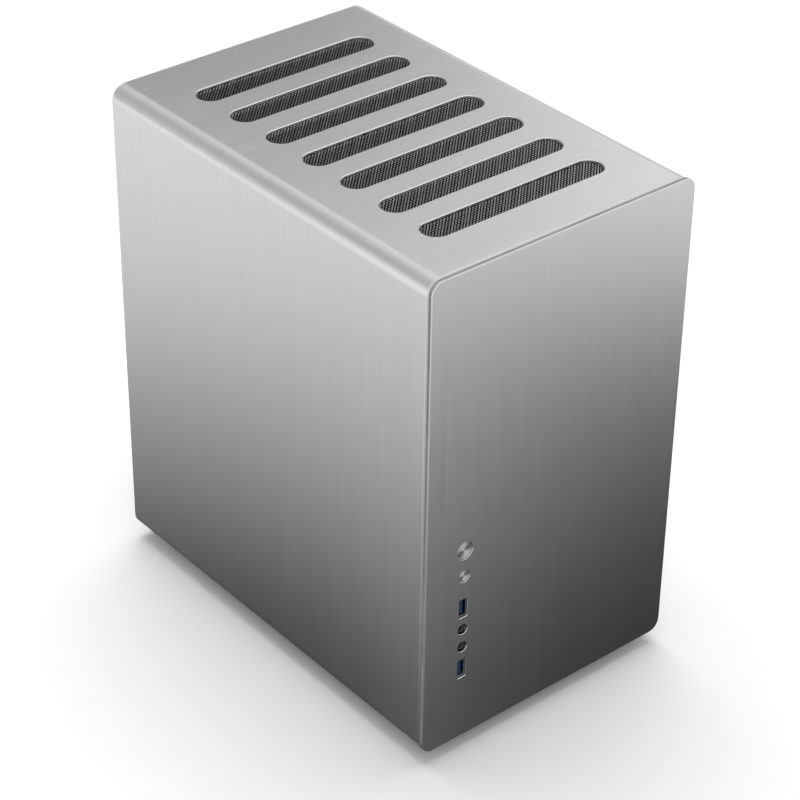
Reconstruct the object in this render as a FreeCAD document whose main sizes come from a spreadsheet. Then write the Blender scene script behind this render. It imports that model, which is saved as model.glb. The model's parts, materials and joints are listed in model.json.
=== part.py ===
import FreeCAD, Part
import math
import os

import Sketcher

# A desktop computer tower: a brushed sleeve that slides off a chassis holding the computer.
# +Z is up, the front faces -Y, +X is to the right seen from the front.
# The origin is on the floor under the middle of the whole tower.

DIMENSIONS = {
    # outer form
    "width": 218, "height": 362, "depth": 332, "foot_height": 10,
    "shell_wall": 2, "bend_radius": 11, "flange_width": 22,
    "front_thickness": 4, "front_corner": 9, "front_chamfer": 0.8, "seam": 0.8, "rim_chamfer": 0.6,
    # ventilation slots in the top
    "slot_count": 7, "slot_pitch": 38.5, "slot_length": 147, "slot_width": 20,
    "mesh_thickness": 0.6, "filter_frame_height": 2.4, "filter_margin": 9, "filter_bar": 7,
    # running gaps between the sleeve and the chassis
    "slide_gap": 0.3, "side_gap": 0.8, "top_gap": 1.6, "ear_gap": 0.3,
    "ear_width": 20, "ear_height": 13, "ear_inset": 24, "lip_cover": 4, "lip_side_gap": 4,
    "thumb_head_radius": 5, "thumb_head_length": 7, "thumb_shank_radius": 1.7, "thumb_hole_radius": 2,
    # chassis sheet metal
    "sheet": 1.2, "base_inset": 13, "base_flange": 15, "base_tab": 18, "tray_flange": 5, "rail_leg": 12,
    "foot_radius": 12, "foot_inset_x": 37, "foot_inset_y": 40, "rivet_radius": 1.6, "rivet_head": 2.6,
    # front controls, heights above the sleeve's lower face
    "column_inset": 32.4, "power_height": 154, "reset_height": 133.6, "usb_high": 107.9,
    "jack_high": 90.5, "jack_low": 76, "usb_low": 57.9,
    "power_radius": 6.5, "reset_radius": 4.4, "button_gap": 0.25, "power_travel": 1.2,
    "reset_travel": 0.8, "collar_step": 1.4, "stem_radius": 1.5,
    "usb_cut_height": 15, "usb_cut_width": 7, "usb_shell_height": 13.4, "usb_shell_width": 6,
    "usb_wall": 0.4, "usb_length": 19, "tongue_thickness": 1.9,
    "jack_cut_radius": 4, "jack_nose_radius": 3, "jack_bore_radius": 1.8, "jack_bore_length": 15,
    "stud_length": 6, "stud_radius": 3, "board_thickness": 1.6,
    # power supply
    "psu_width": 150, "psu_depth": 140, "psu_height": 86, "psu_sheet": 0.8,
    # main board and what stands on it
    "main_board": 244, "standoff": 6.5, "board_lift": 4.5, "slot_step": 20.32,
    "cooler_size": 92, "fin_count": 24, "fin_pitch": 4, "fin_thickness": 0.6, "pipe_radius": 3,
    # fans
    "fan_size": 120, "fan_depth": 25, "fan_rim": 2, "fan_hole_inset": 7.5, "hub_radius": 19, "tip_gap": 1,
    "shaft_radius": 1.5, "shaft_gap": 0.05, "blade_count": 7, "blade_thickness": 1.4,
    # drives
    "disk_width": 101.6, "disk_length": 147, "disk_height": 26.1, "disk_gap": 0.2,
    "ssd_width": 69.85, "ssd_length": 100.45, "ssd_height": 7,
}

DOC = FreeCAD.newDocument("computer_tower")
SHEET = DOC.addObject("Spreadsheet::Sheet", "dims")
for row, (alias, number) in enumerate(DIMENSIONS.items(), start=1):
    SHEET.set("A%d" % row, alias)
    SHEET.set("B%d" % row, str(number))
    SHEET.setAlias("B%d" % row, alias)
DOC.recompute()

NODES = []
EPSILON = 1e-4


class Size:
    """A length that knows its value and the spreadsheet formula that it comes from."""

    def __init__(self, value, formula):
        self.value = value
        self.formula = formula

    def __add__(self, other):
        other = as_size(other)
        return Size(self.value + other.value, "(%s + %s)" % (self.formula, other.formula))

    def __sub__(self, other):
        other = as_size(other)
        return Size(self.value - other.value, "(%s - %s)" % (self.formula, other.formula))

    def __mul__(self, factor):
        factor = as_size(factor)
        return Size(self.value * factor.value, "(%s * %s)" % (self.formula, factor.formula))

    def __truediv__(self, factor):
        factor = as_size(factor)
        return Size(self.value / factor.value, "(%s / %s)" % (self.formula, factor.formula))

    def __neg__(self):
        return Size(-self.value, "(0 - %s)" % self.formula)

    def __radd__(self, other):
        return as_size(other) + self

    def __rsub__(self, other):
        return as_size(other) - self

    def __rmul__(self, other):
        return as_size(other) * self


class Sheet:
    """Reads a named dimension of the spreadsheet as a Size."""

    def __getattr__(self, alias):
        return Size(float(SHEET.get(alias)), "dims." + alias)


def as_size(item):
    return item if isinstance(item, Size) else Size(float(item), "(%r)" % float(item))


def bind(thing, prop, size):
    thing.setExpression(prop, as_size(size).formula)


def node(name, feature):
    """Marks a finished feature as a sub-part of its own."""
    feature.Label = name
    NODES.append(feature)
    return feature


def place(feature, where, rotation=None):
    """Puts a feature's own origin at a bound position, turned as given."""
    feature.Placement = FreeCAD.Placement(FreeCAD.Vector(), rotation or FreeCAD.Rotation())
    for axis, size in zip("xyz", where):
        bind(feature, "Placement.Base." + axis, size)
    return feature


# ---- Part primitives and booleans -------------------------------------------------------------

TURNS = {
    "x": FreeCAD.Rotation(FreeCAD.Vector(0, 1, 0), 90),
    "y": FreeCAD.Rotation(FreeCAD.Vector(1, 0, 0), -90),
    "z": FreeCAD.Rotation(),
}


def box(name, low, high):
    """A box between its lowest and its highest corner."""
    solid = DOC.addObject("Part::Box", name)
    for side, start, end in zip(("Length", "Width", "Height"), low, high):
        bind(solid, side, as_size(end) - start)
    return place(solid, low)


def rod(name, start, length, radius, axis="z"):
    """A cylinder that grows from start along the positive axis."""
    solid = DOC.addObject("Part::Cylinder", name)
    bind(solid, "Radius", radius)
    bind(solid, "Height", length)
    return place(solid, start, TURNS[axis])


def group(name, solids):
    result = DOC.addObject("Part::Compound", name)
    result.Links = solids
    return result


def fuse(name, solids):
    result = DOC.addObject("Part::MultiFuse", name)
    result.Shapes = solids
    return result


def cut(name, base, tools):
    result = DOC.addObject("Part::Cut", name)
    result.Base = base
    result.Tool = tools[0] if len(tools) == 1 else group(name + "_tools", tools)
    return result


def common(name, first, second):
    result = DOC.addObject("Part::MultiCommon", name)
    result.Shapes = [first, second]
    return result


# ---- PartDesign bodies and sketches -----------------------------------------------------------

def new_body(name):
    return DOC.addObject("PartDesign::Body", name)


def new_sketch(body, name, plane, offset):
    """A sketch on one of the body's origin planes, moved along that plane's normal."""
    sketch = body.newObject("Sketcher::SketchObject", name)
    support = [item for item in body.Origin.OriginFeatures if item.Role == plane][0]
    sketch.AttachmentSupport = [(support, "")]
    sketch.MapMode = "FlatFace"
    bind(sketch, "AttachmentOffset.Base.z", offset)
    return sketch


def fix(sketch, kind, *arguments):
    """Adds a measured constraint whose value is bound to the spreadsheet."""
    size = as_size(arguments[-1])
    index = sketch.addConstraint(Sketcher.Constraint(kind, *arguments[:-1], size.value))
    sketch.setExpression("Constraints[%d]" % index, size.formula)


def line_between(x1, y1, x2, y2):
    return Part.LineSegment(FreeCAD.Vector(x1, y1, 0), FreeCAD.Vector(x2, y2, 0))


def arc_about(x, y, radius, start, end):
    circle = Part.Circle(FreeCAD.Vector(x, y, 0), FreeCAD.Vector(0, 0, 1), radius)
    return Part.ArcOfCircle(circle, math.radians(start), math.radians(end))


def rounded_rectangle(sketch, left, right, low, high, radius):
    x1, x2, y1, y2, r = (as_size(item).value for item in (left, right, low, high, radius))
    first = sketch.addGeometry([
        line_between(x1 + r, y1, x2 - r, y1), arc_about(x2 - r, y1 + r, r, 270, 360),
        line_between(x2, y1 + r, x2, y2 - r), arc_about(x2 - r, y2 - r, r, 0, 90),
        line_between(x2 - r, y2, x1 + r, y2), arc_about(x1 + r, y2 - r, r, 90, 180),
        line_between(x1, y2 - r, x1, y1 + r), arc_about(x1 + r, y1 + r, r, 180, 270),
    ], False)[0]
    for step in range(8):
        following = first + (step + 1) % 8
        sketch.addConstraint(Sketcher.Constraint("Tangent", first + step, 2, following, 1))
    for step, direction in ((0, "Horizontal"), (4, "Horizontal"), (2, "Vertical"), (6, "Vertical")):
        sketch.addConstraint(Sketcher.Constraint(direction, first + step))
    for step in (3, 5, 7):
        sketch.addConstraint(Sketcher.Constraint("Equal", first + 1, first + step))
    fix(sketch, "DistanceX", -1, 1, first + 6, 1, left)
    fix(sketch, "DistanceX", -1, 1, first + 2, 1, right)
    fix(sketch, "DistanceY", -1, 1, first, 1, low)
    fix(sketch, "DistanceY", -1, 1, first + 4, 1, high)
    fix(sketch, "Radius", first + 1, radius)


def stadium(sketch, half_straight, centre_y, radius):
    """A slot outline along X, centred on the vertical axis."""
    a, y, r = (as_size(item).value for item in (half_straight, centre_y, radius))
    first = sketch.addGeometry([
        line_between(-a, y - r, a, y - r), arc_about(a, y, r, 270, 450),
        line_between(a, y + r, -a, y + r), arc_about(-a, y, r, 90, 270),
    ], False)[0]
    for step in range(4):
        following = first + (step + 1) % 4
        sketch.addConstraint(Sketcher.Constraint("Tangent", first + step, 2, following, 1))
    sketch.addConstraint(Sketcher.Constraint("Horizontal", first))
    sketch.addConstraint(Sketcher.Constraint("Equal", first + 1, first + 3))
    fix(sketch, "DistanceX", -1, 1, first + 1, 3, half_straight)
    fix(sketch, "DistanceX", -1, 1, first + 3, 3, -half_straight)
    fix(sketch, "DistanceY", -1, 1, first + 1, 3, centre_y)
    fix(sketch, "Radius", first + 1, radius)


def circle_at(sketch, x, y, radius):
    centre = FreeCAD.Vector(as_size(x).value, as_size(y).value, 0)
    circle = Part.Circle(centre, FreeCAD.Vector(0, 0, 1), as_size(radius).value)
    index = sketch.addGeometry([circle], False)[0]
    fix(sketch, "DistanceX", -1, 1, index, 3, x)
    fix(sketch, "DistanceY", -1, 1, index, 3, y)
    fix(sketch, "Radius", index, radius)


def outline(sketch, points):
    """A closed outline of straight lines through points given as pairs of sizes."""
    flat = [(as_size(x).value, as_size(y).value) for x, y in points]
    closing = flat[1:] + flat[:1]
    first = sketch.addGeometry([line_between(*a, *b) for a, b in zip(flat, closing)], False)[0]
    for step, (x, y) in enumerate(points):
        following = first + (step + 1) % len(points)
        sketch.addConstraint(Sketcher.Constraint("Coincident", first + step, 2, following, 1))
        fix(sketch, "DistanceX", -1, 1, first + step, 1, x)
        fix(sketch, "DistanceY", -1, 1, first + step, 1, y)


def pad(body, sketch, length, backward=False):
    feature = body.newObject("PartDesign::Pad", sketch.Name + "_pad")
    feature.Profile = sketch
    feature.Reversed = backward
    bind(feature, "Length", length)
    return feature


def pocket(body, sketch, length, forward=False):
    feature = body.newObject("PartDesign::Pocket", sketch.Name + "_pocket")
    feature.Profile = sketch
    feature.Reversed = forward
    bind(feature, "Length", length)
    return feature


def revolve(body, sketch):
    feature = body.newObject("PartDesign::Revolution", sketch.Name + "_turned")
    feature.Profile = sketch
    feature.ReferenceAxis = (sketch, ["V_Axis"])
    feature.Angle = 360
    return feature


def chamfer(body, base, size, wanted):
    """Chamfers the edges of base whose bounding box passes the wanted test."""
    DOC.recompute()
    names = ["Edge%d" % i for i, edge in enumerate(base.Shape.Edges, 1) if wanted(edge.BoundBox)]
    feature = body.newObject("PartDesign::Chamfer", base.Name + "_chamfer")
    feature.Base = (base, names)
    bind(feature, "Size", size)
    return feature


# ---- Planes and places that the pieces share --------------------------------------------------

d = Sheet()
HALF = d.width / 2
INNER = HALF - d.shell_wall
CHASSIS_HALF = INNER - d.side_gap
CORNER = d.bend_radius - d.shell_wall

BOTTOM = d.foot_height
TOP = BOTTOM + d.height
UNDERSIDE = BOTTOM + d.shell_wall + d.slide_gap
FLOOR = UNDERSIDE + d.sheet
MESH_TOP = TOP - d.shell_wall
MESH_BOTTOM = MESH_TOP - d.mesh_thickness
FILTER_BOTTOM = MESH_BOTTOM - d.filter_frame_height
CHASSIS_TOP = FILTER_BOTTOM - d.top_gap

FRONT = -(d.depth + d.thumb_head_length) / 2
PANEL_BACK = FRONT + d.front_thickness
SHELL_FRONT = PANEL_BACK + d.seam
SHELL_REAR = FRONT + d.depth
FRAME_FRONT = PANEL_BACK + d.stud_length
FRAME_BACK = FRAME_FRONT + d.sheet
REAR_BACK = SHELL_REAR - d.shell_wall - d.ear_gap
REAR_FRONT = REAR_BACK - d.sheet
MIDDLE = FRONT + d.depth / 2
BASE_HALF = HALF - d.base_inset

COLUMN = -HALF + d.column_inset
IO_FACE = COLUMN - d.usb_shell_width / 2

PSU_TOP = FLOOR + d.psu_height
PSU_FRONT = REAR_FRONT - d.psu_depth
BOARD_BOTTOM = PSU_TOP + d.board_lift
BOARD_TOP = BOARD_BOTTOM + d.main_board
BOARD_REAR = REAR_FRONT - 2
BOARD_FRONT = BOARD_REAR - d.main_board
TRAY_FACE = CHASSIS_HALF - d.sheet
BOARD_BACK = TRAY_FACE - d.standoff
BOARD_FACE = BOARD_BACK - d.board_thickness
SLOT_FIRST = BOARD_BOTTOM + 5.1

EAR_LEVELS = (BOTTOM + d.ear_inset + d.bend_radius, TOP - d.bend_radius - d.ear_height / 2)
EAR_X = INNER - d.ear_width / 2


# ---- Outer sleeve and what rides on it --------------------------------------------------------

def make_outer_shell():
    body = new_body("outer_shell_body")
    sleeve = new_sketch(body, "sleeve", "XZ_Plane", -SHELL_FRONT)
    rounded_rectangle(sleeve, -HALF, HALF, BOTTOM, TOP, d.bend_radius)
    rounded_rectangle(sleeve, -INNER, INNER, BOTTOM + d.shell_wall, MESH_TOP, CORNER)
    pad(body, sleeve, SHELL_REAR - SHELL_FRONT, backward=True)

    ears = new_sketch(body, "ears", "XZ_Plane", -SHELL_REAR)
    for side in (-1, 1):
        inner_end = side * (INNER - d.ear_width)
        outer_end = side * (INNER + d.shell_wall / 2)
        for level in EAR_LEVELS:
            left, right = (inner_end, outer_end) if side > 0 else (outer_end, inner_end)
            low = level - d.ear_height / 2
            outline(ears, [(left, low), (right, low), (right, low + d.ear_height),
                           (left, low + d.ear_height)])
            circle_at(ears, side * EAR_X, level, d.thumb_hole_radius)
    lip = INNER - d.ear_width - d.lip_side_gap
    outline(ears, [(-lip, CHASSIS_TOP - d.lip_cover), (lip, CHASSIS_TOP - d.lip_cover),
                   (lip, MESH_TOP + d.shell_wall / 2), (-lip, MESH_TOP + d.shell_wall / 2)])
    pad(body, ears, d.shell_wall)

    gap = new_sketch(body, "bottom_gap", "XY_Plane", BOTTOM + d.shell_wall)
    half_gap = HALF - d.flange_width
    outline(gap, [(-half_gap, SHELL_FRONT - 1), (half_gap, SHELL_FRONT - 1),
                  (half_gap, SHELL_REAR + 1), (-half_gap, SHELL_REAR + 1)])
    pocket(body, gap, d.shell_wall)

    slot = new_sketch(body, "slot", "XY_Plane", TOP)
    first_slot = MIDDLE - d.slot_pitch * (d.slot_count - 1) / 2
    stadium(slot, d.slot_length / 2 - d.slot_width / 2, first_slot, d.slot_width / 2)
    opening = pocket(body, slot, d.shell_wall)
    DOC.recompute()
    row_of_slots = body.newObject("PartDesign::LinearPattern", "row_of_slots")
    row_of_slots.Originals = [opening]
    row_of_slots.Direction = (slot, ["V_Axis"])
    bind(row_of_slots, "Length", d.slot_pitch * (d.slot_count - 1))
    bind(row_of_slots, "Occurrences", d.slot_count)
    body.Tip = row_of_slots
    reach = d.slot_length.value / 2 + EPSILON
    level = TOP.value - EPSILON
    chamfer(body, row_of_slots, d.rim_chamfer,
            lambda bounds: bounds.ZMin > level and bounds.XMax < reach and bounds.XMin > -reach)
    return node("outer_shell", body)


def filter_box(name, margin, low, high):
    half = d.slot_length / 2 + margin
    reach = d.slot_pitch * (d.slot_count - 1) / 2 + d.slot_width / 2 + margin
    return box(name, (-half, MIDDLE - reach, low), (half, MIDDLE + reach, high))


def make_top_filter():
    node("top_filter_mesh", filter_box("mesh_sheet", d.filter_margin, MESH_BOTTOM, MESH_TOP))
    blank = filter_box("filter_blank", d.filter_margin, FILTER_BOTTOM, MESH_BOTTOM)
    window = filter_box("filter_window", d.filter_margin - d.filter_bar, FILTER_BOTTOM - 1, MESH_TOP)
    node("top_filter_frame", cut("filter_ring", blank, [window]))


def make_shell_thumbscrews():
    screws = []
    for side in (-1, 1):
        for number, level in enumerate(EAR_LEVELS):
            body = new_body("thumbscrew_%d_%d" % (side + 1, number))
            sketch = new_sketch(body, body.Name + "_profile", "XY_Plane", 0)
            reach = -(d.shell_wall + d.ear_gap + d.sheet)
            rim = d.thumb_head_radius - 0.6
            outline(sketch, [(0, reach), (d.thumb_shank_radius, reach), (d.thumb_shank_radius, 0),
                             (d.thumb_head_radius, 0), (d.thumb_head_radius, d.thumb_head_length - 0.6),
                             (rim, d.thumb_head_length), (0, d.thumb_head_length)])
            revolve(body, sketch)
            screws.append(place(body, (side * EAR_X, SHELL_REAR, level)))
    node("shell_thumbscrews", group("thumbscrew_set", screws))


# ---- Front plate, controls and sockets --------------------------------------------------------

def make_front_panel():
    body = new_body("front_panel_body")
    plate = new_sketch(body, "front_plate", "XZ_Plane", -FRONT)
    rounded_rectangle(plate, -HALF, HALF, BOTTOM, TOP, d.front_corner)
    pad(body, plate, d.front_thickness, backward=True)
    holes = new_sketch(body, "front_holes", "XZ_Plane", -FRONT)
    circle_at(holes, COLUMN, BOTTOM + d.power_height, d.power_radius + d.button_gap)
    circle_at(holes, COLUMN, BOTTOM + d.reset_height, d.reset_radius + d.button_gap)
    for height in (d.jack_high, d.jack_low):
        circle_at(holes, COLUMN, BOTTOM + height, d.jack_cut_radius)
    for height in (d.usb_high, d.usb_low):
        middle = BOTTOM + height
        rounded_rectangle(holes, COLUMN - d.usb_cut_width / 2, COLUMN + d.usb_cut_width / 2,
                          middle - d.usb_cut_height / 2, middle + d.usb_cut_height / 2,
                          d.rim_chamfer)
    openings = pocket(body, holes, d.front_thickness)
    face = FRONT.value + EPSILON
    limit = HALF.value - EPSILON
    rims = chamfer(body, openings, d.rim_chamfer, lambda bounds: bounds.YMax < face and bounds.XMax < 0
                   and bounds.XMin > -limit and bounds.ZLength < d.height.value / 2)
    lowest = (BOTTOM + d.front_corner + 1).value
    highest = (TOP - d.front_corner - 1).value
    chamfer(body, rims, d.front_chamfer, lambda bounds: bounds.YMax < face and (
        bounds.XMax > limit or bounds.XMin < -limit or bounds.ZMin > highest or bounds.ZMax < lowest))
    return node("front_panel", body)


def make_button(name, radius, height):
    """A turned cap with a collar behind the plate and a stem that enters its switch."""
    body = new_body(name + "_body")
    sketch = new_sketch(body, name + "_profile", "XY_Plane", 0)
    face = 0.3
    collar_front = d.front_thickness + 0.3
    collar = radius + d.collar_step
    outline(sketch, [(0, face), (radius - 0.4, face), (radius, face + 0.4), (radius, collar_front),
                     (collar, collar_front), (collar, collar_front + 1),
                     (d.stem_radius, collar_front + 1), (d.stem_radius, FRAME_BACK - FRONT - 1),
                     (0, FRAME_BACK - FRONT - 1)])
    revolve(body, sketch)
    place(body, (COLUMN, FRONT, BOTTOM + height))
    return node(name, body)


def make_switch(name, height, size):
    level = BOTTOM + height
    front = FRONT + 9
    case = box(name + "_case", (IO_FACE, front, level - size / 2),
               (COLUMN + 3.5, front + 7, level + size / 2))
    bore = rod(name + "_bore", (COLUMN, front - 1, level), 6, d.stem_radius + 0.3, "y")
    node(name, cut(name + "_bored", case, [bore]))


def make_usb_port(name, height):
    level = BOTTOM + height
    half_x = d.usb_shell_width / 2
    half_z = d.usb_shell_height / 2
    mouth = FRONT + 1
    end = mouth + d.usb_length
    tube = box(name + "_tube", (COLUMN - half_x, mouth, level - half_z),
               (COLUMN + half_x, end, level + half_z))
    inner_x = half_x - d.usb_wall
    inner_z = half_z - d.usb_wall
    cavity = box(name + "_cavity", (COLUMN - inner_x, mouth - 1, level - inner_z),
                 (COLUMN + inner_x, end + 1, level + inner_z))
    node("usb_shell_" + name, cut(name + "_sleeve", tube, [cavity]))
    block = box(name + "_block", (COLUMN - inner_x, mouth + 11, level - inner_z),
                (COLUMN + inner_x, end - 0.5, level + inner_z))
    tongue_right = COLUMN + d.tongue_thickness - 0.7
    tongue = box(name + "_tongue", (tongue_right - d.tongue_thickness, mouth + 1.5, level - inner_z + 0.8),
                 (tongue_right, mouth + 11.5, level + inner_z - 0.8))
    node("usb_insert_" + name, fuse(name + "_insert", [block, tongue]))


def make_jack(name, height):
    level = BOTTOM + height
    mouth = FRONT + 1.2
    nose = rod(name + "_nose", (COLUMN, mouth, level), 8, d.jack_nose_radius, "y")
    case = box(name + "_case", (IO_FACE, FRONT + 8.5, level - 3.5), (COLUMN + 3.5, FRONT + 20, level + 3.5))
    bore = rod(name + "_bore", (COLUMN, mouth - 1, level), d.jack_bore_length + 1,
               d.jack_bore_radius, "y")
    node(name, cut(name + "_bored", fuse(name + "_solid", [nose, case]), [bore]))


def make_front_io_board():
    low = BOTTOM + d.usb_low - 14
    high = BOTTOM + d.power_height + 10
    return node("front_io_board", box("io_board_blank", (IO_FACE - d.board_thickness, FRONT + 8, low),
                                      (IO_FACE, FRONT + 42, high)))


def stud_places():
    across = HALF - 24
    for side in (-1, 1):
        for share in (0.08, 0.5, 0.92):
            yield side * across, BOTTOM + d.height * share


def make_front_panel_studs():
    studs = []
    for number, (x, level) in enumerate(stud_places()):
        name = "stud_%d_" % number
        post = rod(name + "post", (x, PANEL_BACK, level), d.stud_length, d.stud_radius, "y")
        shank = rod(name + "shank", (x, PANEL_BACK, level), d.stud_length + 5, d.stud_radius / 2, "y")
        nut = rod(name + "nut", (x, FRAME_BACK, level), 2.4, d.stud_radius, "y")
        studs.append(fuse(name + "whole", [post, shank, nut]))
    node("front_panel_studs", group("stud_set", studs))


# ---- Chassis ----------------------------------------------------------------------------------

def rivet_places():
    """Each rivet's place and which plate it goes through: the frame or the rear panel."""
    tab_x = BASE_HALF - d.base_tab / 2
    for plate in ("front", "rear"):
        for x in (-tab_x, tab_x):
            yield plate, x, FLOOR + d.base_flange / 2
        for level in (BOARD_BOTTOM + 30, BOARD_TOP - 60):
            yield plate, TRAY_FACE - d.tray_flange / 2, level


def rivet_holes(plate_wanted):
    holes = []
    for number, (plate, x, level) in enumerate(rivet_places()):
        if plate == plate_wanted:
            start = FRAME_FRONT if plate == "front" else REAR_FRONT - d.sheet
            holes.append(rod("rivet_hole_%s_%d" % (plate, number), (x, start, level), 2 * d.sheet,
                             d.rivet_radius, "y"))
    return holes


def make_chassis_rivets():
    rivets = []
    for number, (plate, x, level) in enumerate(rivet_places()):
        name = "rivet_%d_" % number
        start = FRAME_FRONT if plate == "front" else REAR_FRONT - d.sheet
        head_start = FRAME_FRONT - 0.8 if plate == "front" else REAR_BACK
        shank = rod(name + "shank", (x, start, level), 2 * d.sheet, d.rivet_radius, "y")
        head = rod(name + "head", (x, head_start, level), 0.8, d.rivet_head, "y")
        rivets.append(fuse(name + "whole", [shank, head]))
    node("chassis_rivets", group("rivet_set", rivets))


def end_plate(name, back):
    """A rounded plate that closes one end of the chassis; its thickness ends at back."""
    body = new_body(name + "_body")
    sketch = new_sketch(body, name + "_outline", "XZ_Plane", -back)
    rounded_rectangle(sketch, -CHASSIS_HALF, CHASSIS_HALF, UNDERSIDE, CHASSIS_TOP, CORNER)
    pad(body, sketch, d.sheet)
    return body


def make_front_frame():
    plate = end_plate("frame_plate", FRAME_BACK)
    low = BOTTOM + d.usb_low - 14
    high = BOTTOM + d.power_height + 12
    tab_right = IO_FACE - d.board_thickness
    tab_left = tab_right - d.sheet
    port_window = box("port_window", (tab_right, FRAME_FRONT - 1, low), (COLUMN + 10, FRAME_BACK + 1, high))
    holes = [rod("stud_hole_%d" % i, (x, FRAME_FRONT - 1, level), d.sheet + 2, d.stud_radius / 2, "y")
             for i, (x, level) in enumerate(stud_places())]
    opened = cut("frame_opened", plate, [port_window] + holes + rivet_holes("front"))
    tab = box("board_tab", (tab_left, FRAME_FRONT, low), (tab_right, FRAME_FRONT + 34, high))
    node("front_frame", fuse("frame_with_tab", [opened, tab]))


def base_vents():
    """Rows of short slots under the power supply and under the drives."""
    vents = []
    for row in range(6):
        for column in range(6):
            left = -67.5 + 23 * column
            near = PSU_FRONT + 20 + 17 * row
            vents.append(box("vent_%d_%d" % (row, column), (left, near, UNDERSIDE - 1),
                             (left + 18, near + 6, FLOOR + 1)))
    return vents


def make_base_plate():
    edge = BASE_HALF
    sheet = box("base_sheet", (-edge, FRAME_BACK, UNDERSIDE), (edge, REAR_FRONT, FLOOR))
    pieces = [sheet]
    for side in (-1, 1):
        inner = side * (edge - d.sheet)
        outer = side * edge
        left, right = (inner, outer) if side > 0 else (outer, inner)
        pieces.append(box("side_flange_%d" % side, (left, FRAME_BACK, UNDERSIDE),
                          (right, REAR_FRONT, FLOOR + d.base_flange)))
        inner = side * (edge - d.base_tab)
        left, right = (inner, outer) if side > 0 else (outer, inner)
        pieces.append(box("front_tab_%d" % side, (left, FRAME_BACK, UNDERSIDE),
                          (right, FRAME_BACK + d.sheet, FLOOR + d.base_flange)))
        pieces.append(box("rear_tab_%d" % side, (left, REAR_FRONT - d.sheet, UNDERSIDE),
                          (right, REAR_FRONT, FLOOR + d.base_flange)))
    holes = base_vents() + rivet_holes("front") + rivet_holes("rear")
    node("base_plate", cut("base_finished", fuse("base_folded", pieces), holes))


def honeycomb(name, centre_x, centre_z, half_x, half_z, pitch, radius, front, length, round_edge):
    """Round holes on a triangular grid, inside a rectangle or, with round_edge, an ellipse."""
    holes = []
    row_step = pitch * math.sqrt(3) / 2
    rows = int(half_z / row_step)
    columns = int(half_x / pitch)
    for row in range(-rows, rows + 1):
        for column in range(-columns, columns + 1):
            x = pitch * (column + (0.5 if row % 2 else 0))
            z = row_step * row
            inside = abs(x) <= half_x and abs(z) <= half_z
            if round_edge:
                inside = math.hypot(x / half_x, z / half_z) <= 1
            if inside:
                holes.append(rod("%s_%d_%d" % (name, row, column), (centre_x + x, front, centre_z + z),
                                 length, radius, "y"))
    return holes


FAN_X = -CHASSIS_HALF + d.fan_size / 2 + 5
FAN_Z = BOARD_TOP - d.fan_size / 2 - 6
FAN_HOLES = d.fan_size - 2 * d.fan_hole_inset
SHIELD_RIGHT = BOARD_BACK + 1
SHIELD_LEFT = SHIELD_RIGHT - 44.45
SHIELD_TOP = BOARD_TOP - 3
SHIELD_BOTTOM = SHIELD_TOP - 158.75
COVER_RIGHT = BOARD_BACK - 3
COVER_LEFT = COVER_RIGHT - 112
PSU_HALF = d.psu_width / 2


def slot_levels():
    return [SLOT_FIRST + d.slot_step * number for number in range(4)]


def fan_corners(centre_x, centre_z, spacing):
    half = spacing / 2
    return [(centre_x + a * half, centre_z + b * half) for a in (-1, 1) for b in (-1, 1)]


def psu_screw_places():
    return [(a * (PSU_HALF - 6), level) for a in (-1, 1) for level in (FLOOR + 6, PSU_TOP - 6)]


def make_rear_panel():
    plate = end_plate("rear_plate", REAR_BACK)
    start = REAR_FRONT - 1
    through = d.sheet + 2
    openings = [box("shield_opening", (SHIELD_LEFT, start, SHIELD_BOTTOM), (SHIELD_RIGHT, REAR_BACK + 1,
                                                                            SHIELD_TOP)),
                box("psu_opening", (-PSU_HALF + 11, start, FLOOR + 11), (PSU_HALF - 11, REAR_BACK + 1,
                                                                        PSU_TOP - 11))]
    for number, level in enumerate(slot_levels()):
        openings.append(box("card_opening_%d" % number, (COVER_LEFT + 14, start, level - 7),
                            (COVER_RIGHT - 4, REAR_BACK + 1, level + 7)))
        openings.append(rod("card_hole_%d" % number, (COVER_LEFT + 6, start, level), through, 1.5, "y"))
    reach = d.fan_size.value / 2 - 6
    openings += honeycomb("fan_vent", FAN_X, FAN_Z, reach, reach, 9, 3.7, start, through, True)
    for number, (x, z) in enumerate(fan_corners(FAN_X, FAN_Z, FAN_HOLES)):
        openings.append(rod("fan_hole_%d" % number, (x, start, z), through, 2, "y"))
    for number, (x, z) in enumerate(psu_screw_places()):
        openings.append(rod("psu_hole_%d" % number, (x, start, z), through, 1.8, "y"))
    for side in (-1, 1):
        for number, level in enumerate(EAR_LEVELS):
            openings.append(rod("ear_hole_%d_%d" % (side + 1, number), (side * EAR_X, start, level),
                                through, d.thumb_shank_radius + 0.2, "y"))
    node("rear_panel", cut("rear_opened", plate, openings + rivet_holes("rear")))


def make_slot_covers():
    covers = []
    for number, level in enumerate(slot_levels()):
        blade = box("cover_%d_blade" % number, (COVER_LEFT, REAR_BACK, level - 9.2),
                    (COVER_RIGHT, REAR_BACK + 0.8, level + 9.2))
        holes = [rod("cover_%d_hole" % number, (COVER_LEFT + 6, REAR_BACK - 1, level), 3, 1.5, "y")]
        for row in (-1, 0, 1):
            for column in range(5):
                left = COVER_LEFT + 18 + 18 * column
                holes.append(box("cover_%d_vent_%d_%d" % (number, row, column),
                                 (left, REAR_BACK - 1, level + 4.5 * row - 1),
                                 (left + 14, REAR_BACK + 2, level + 4.5 * row + 1)))
        covers.append(cut("cover_%d" % number, blade, holes))
    node("slot_covers", group("cover_set", covers))


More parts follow.
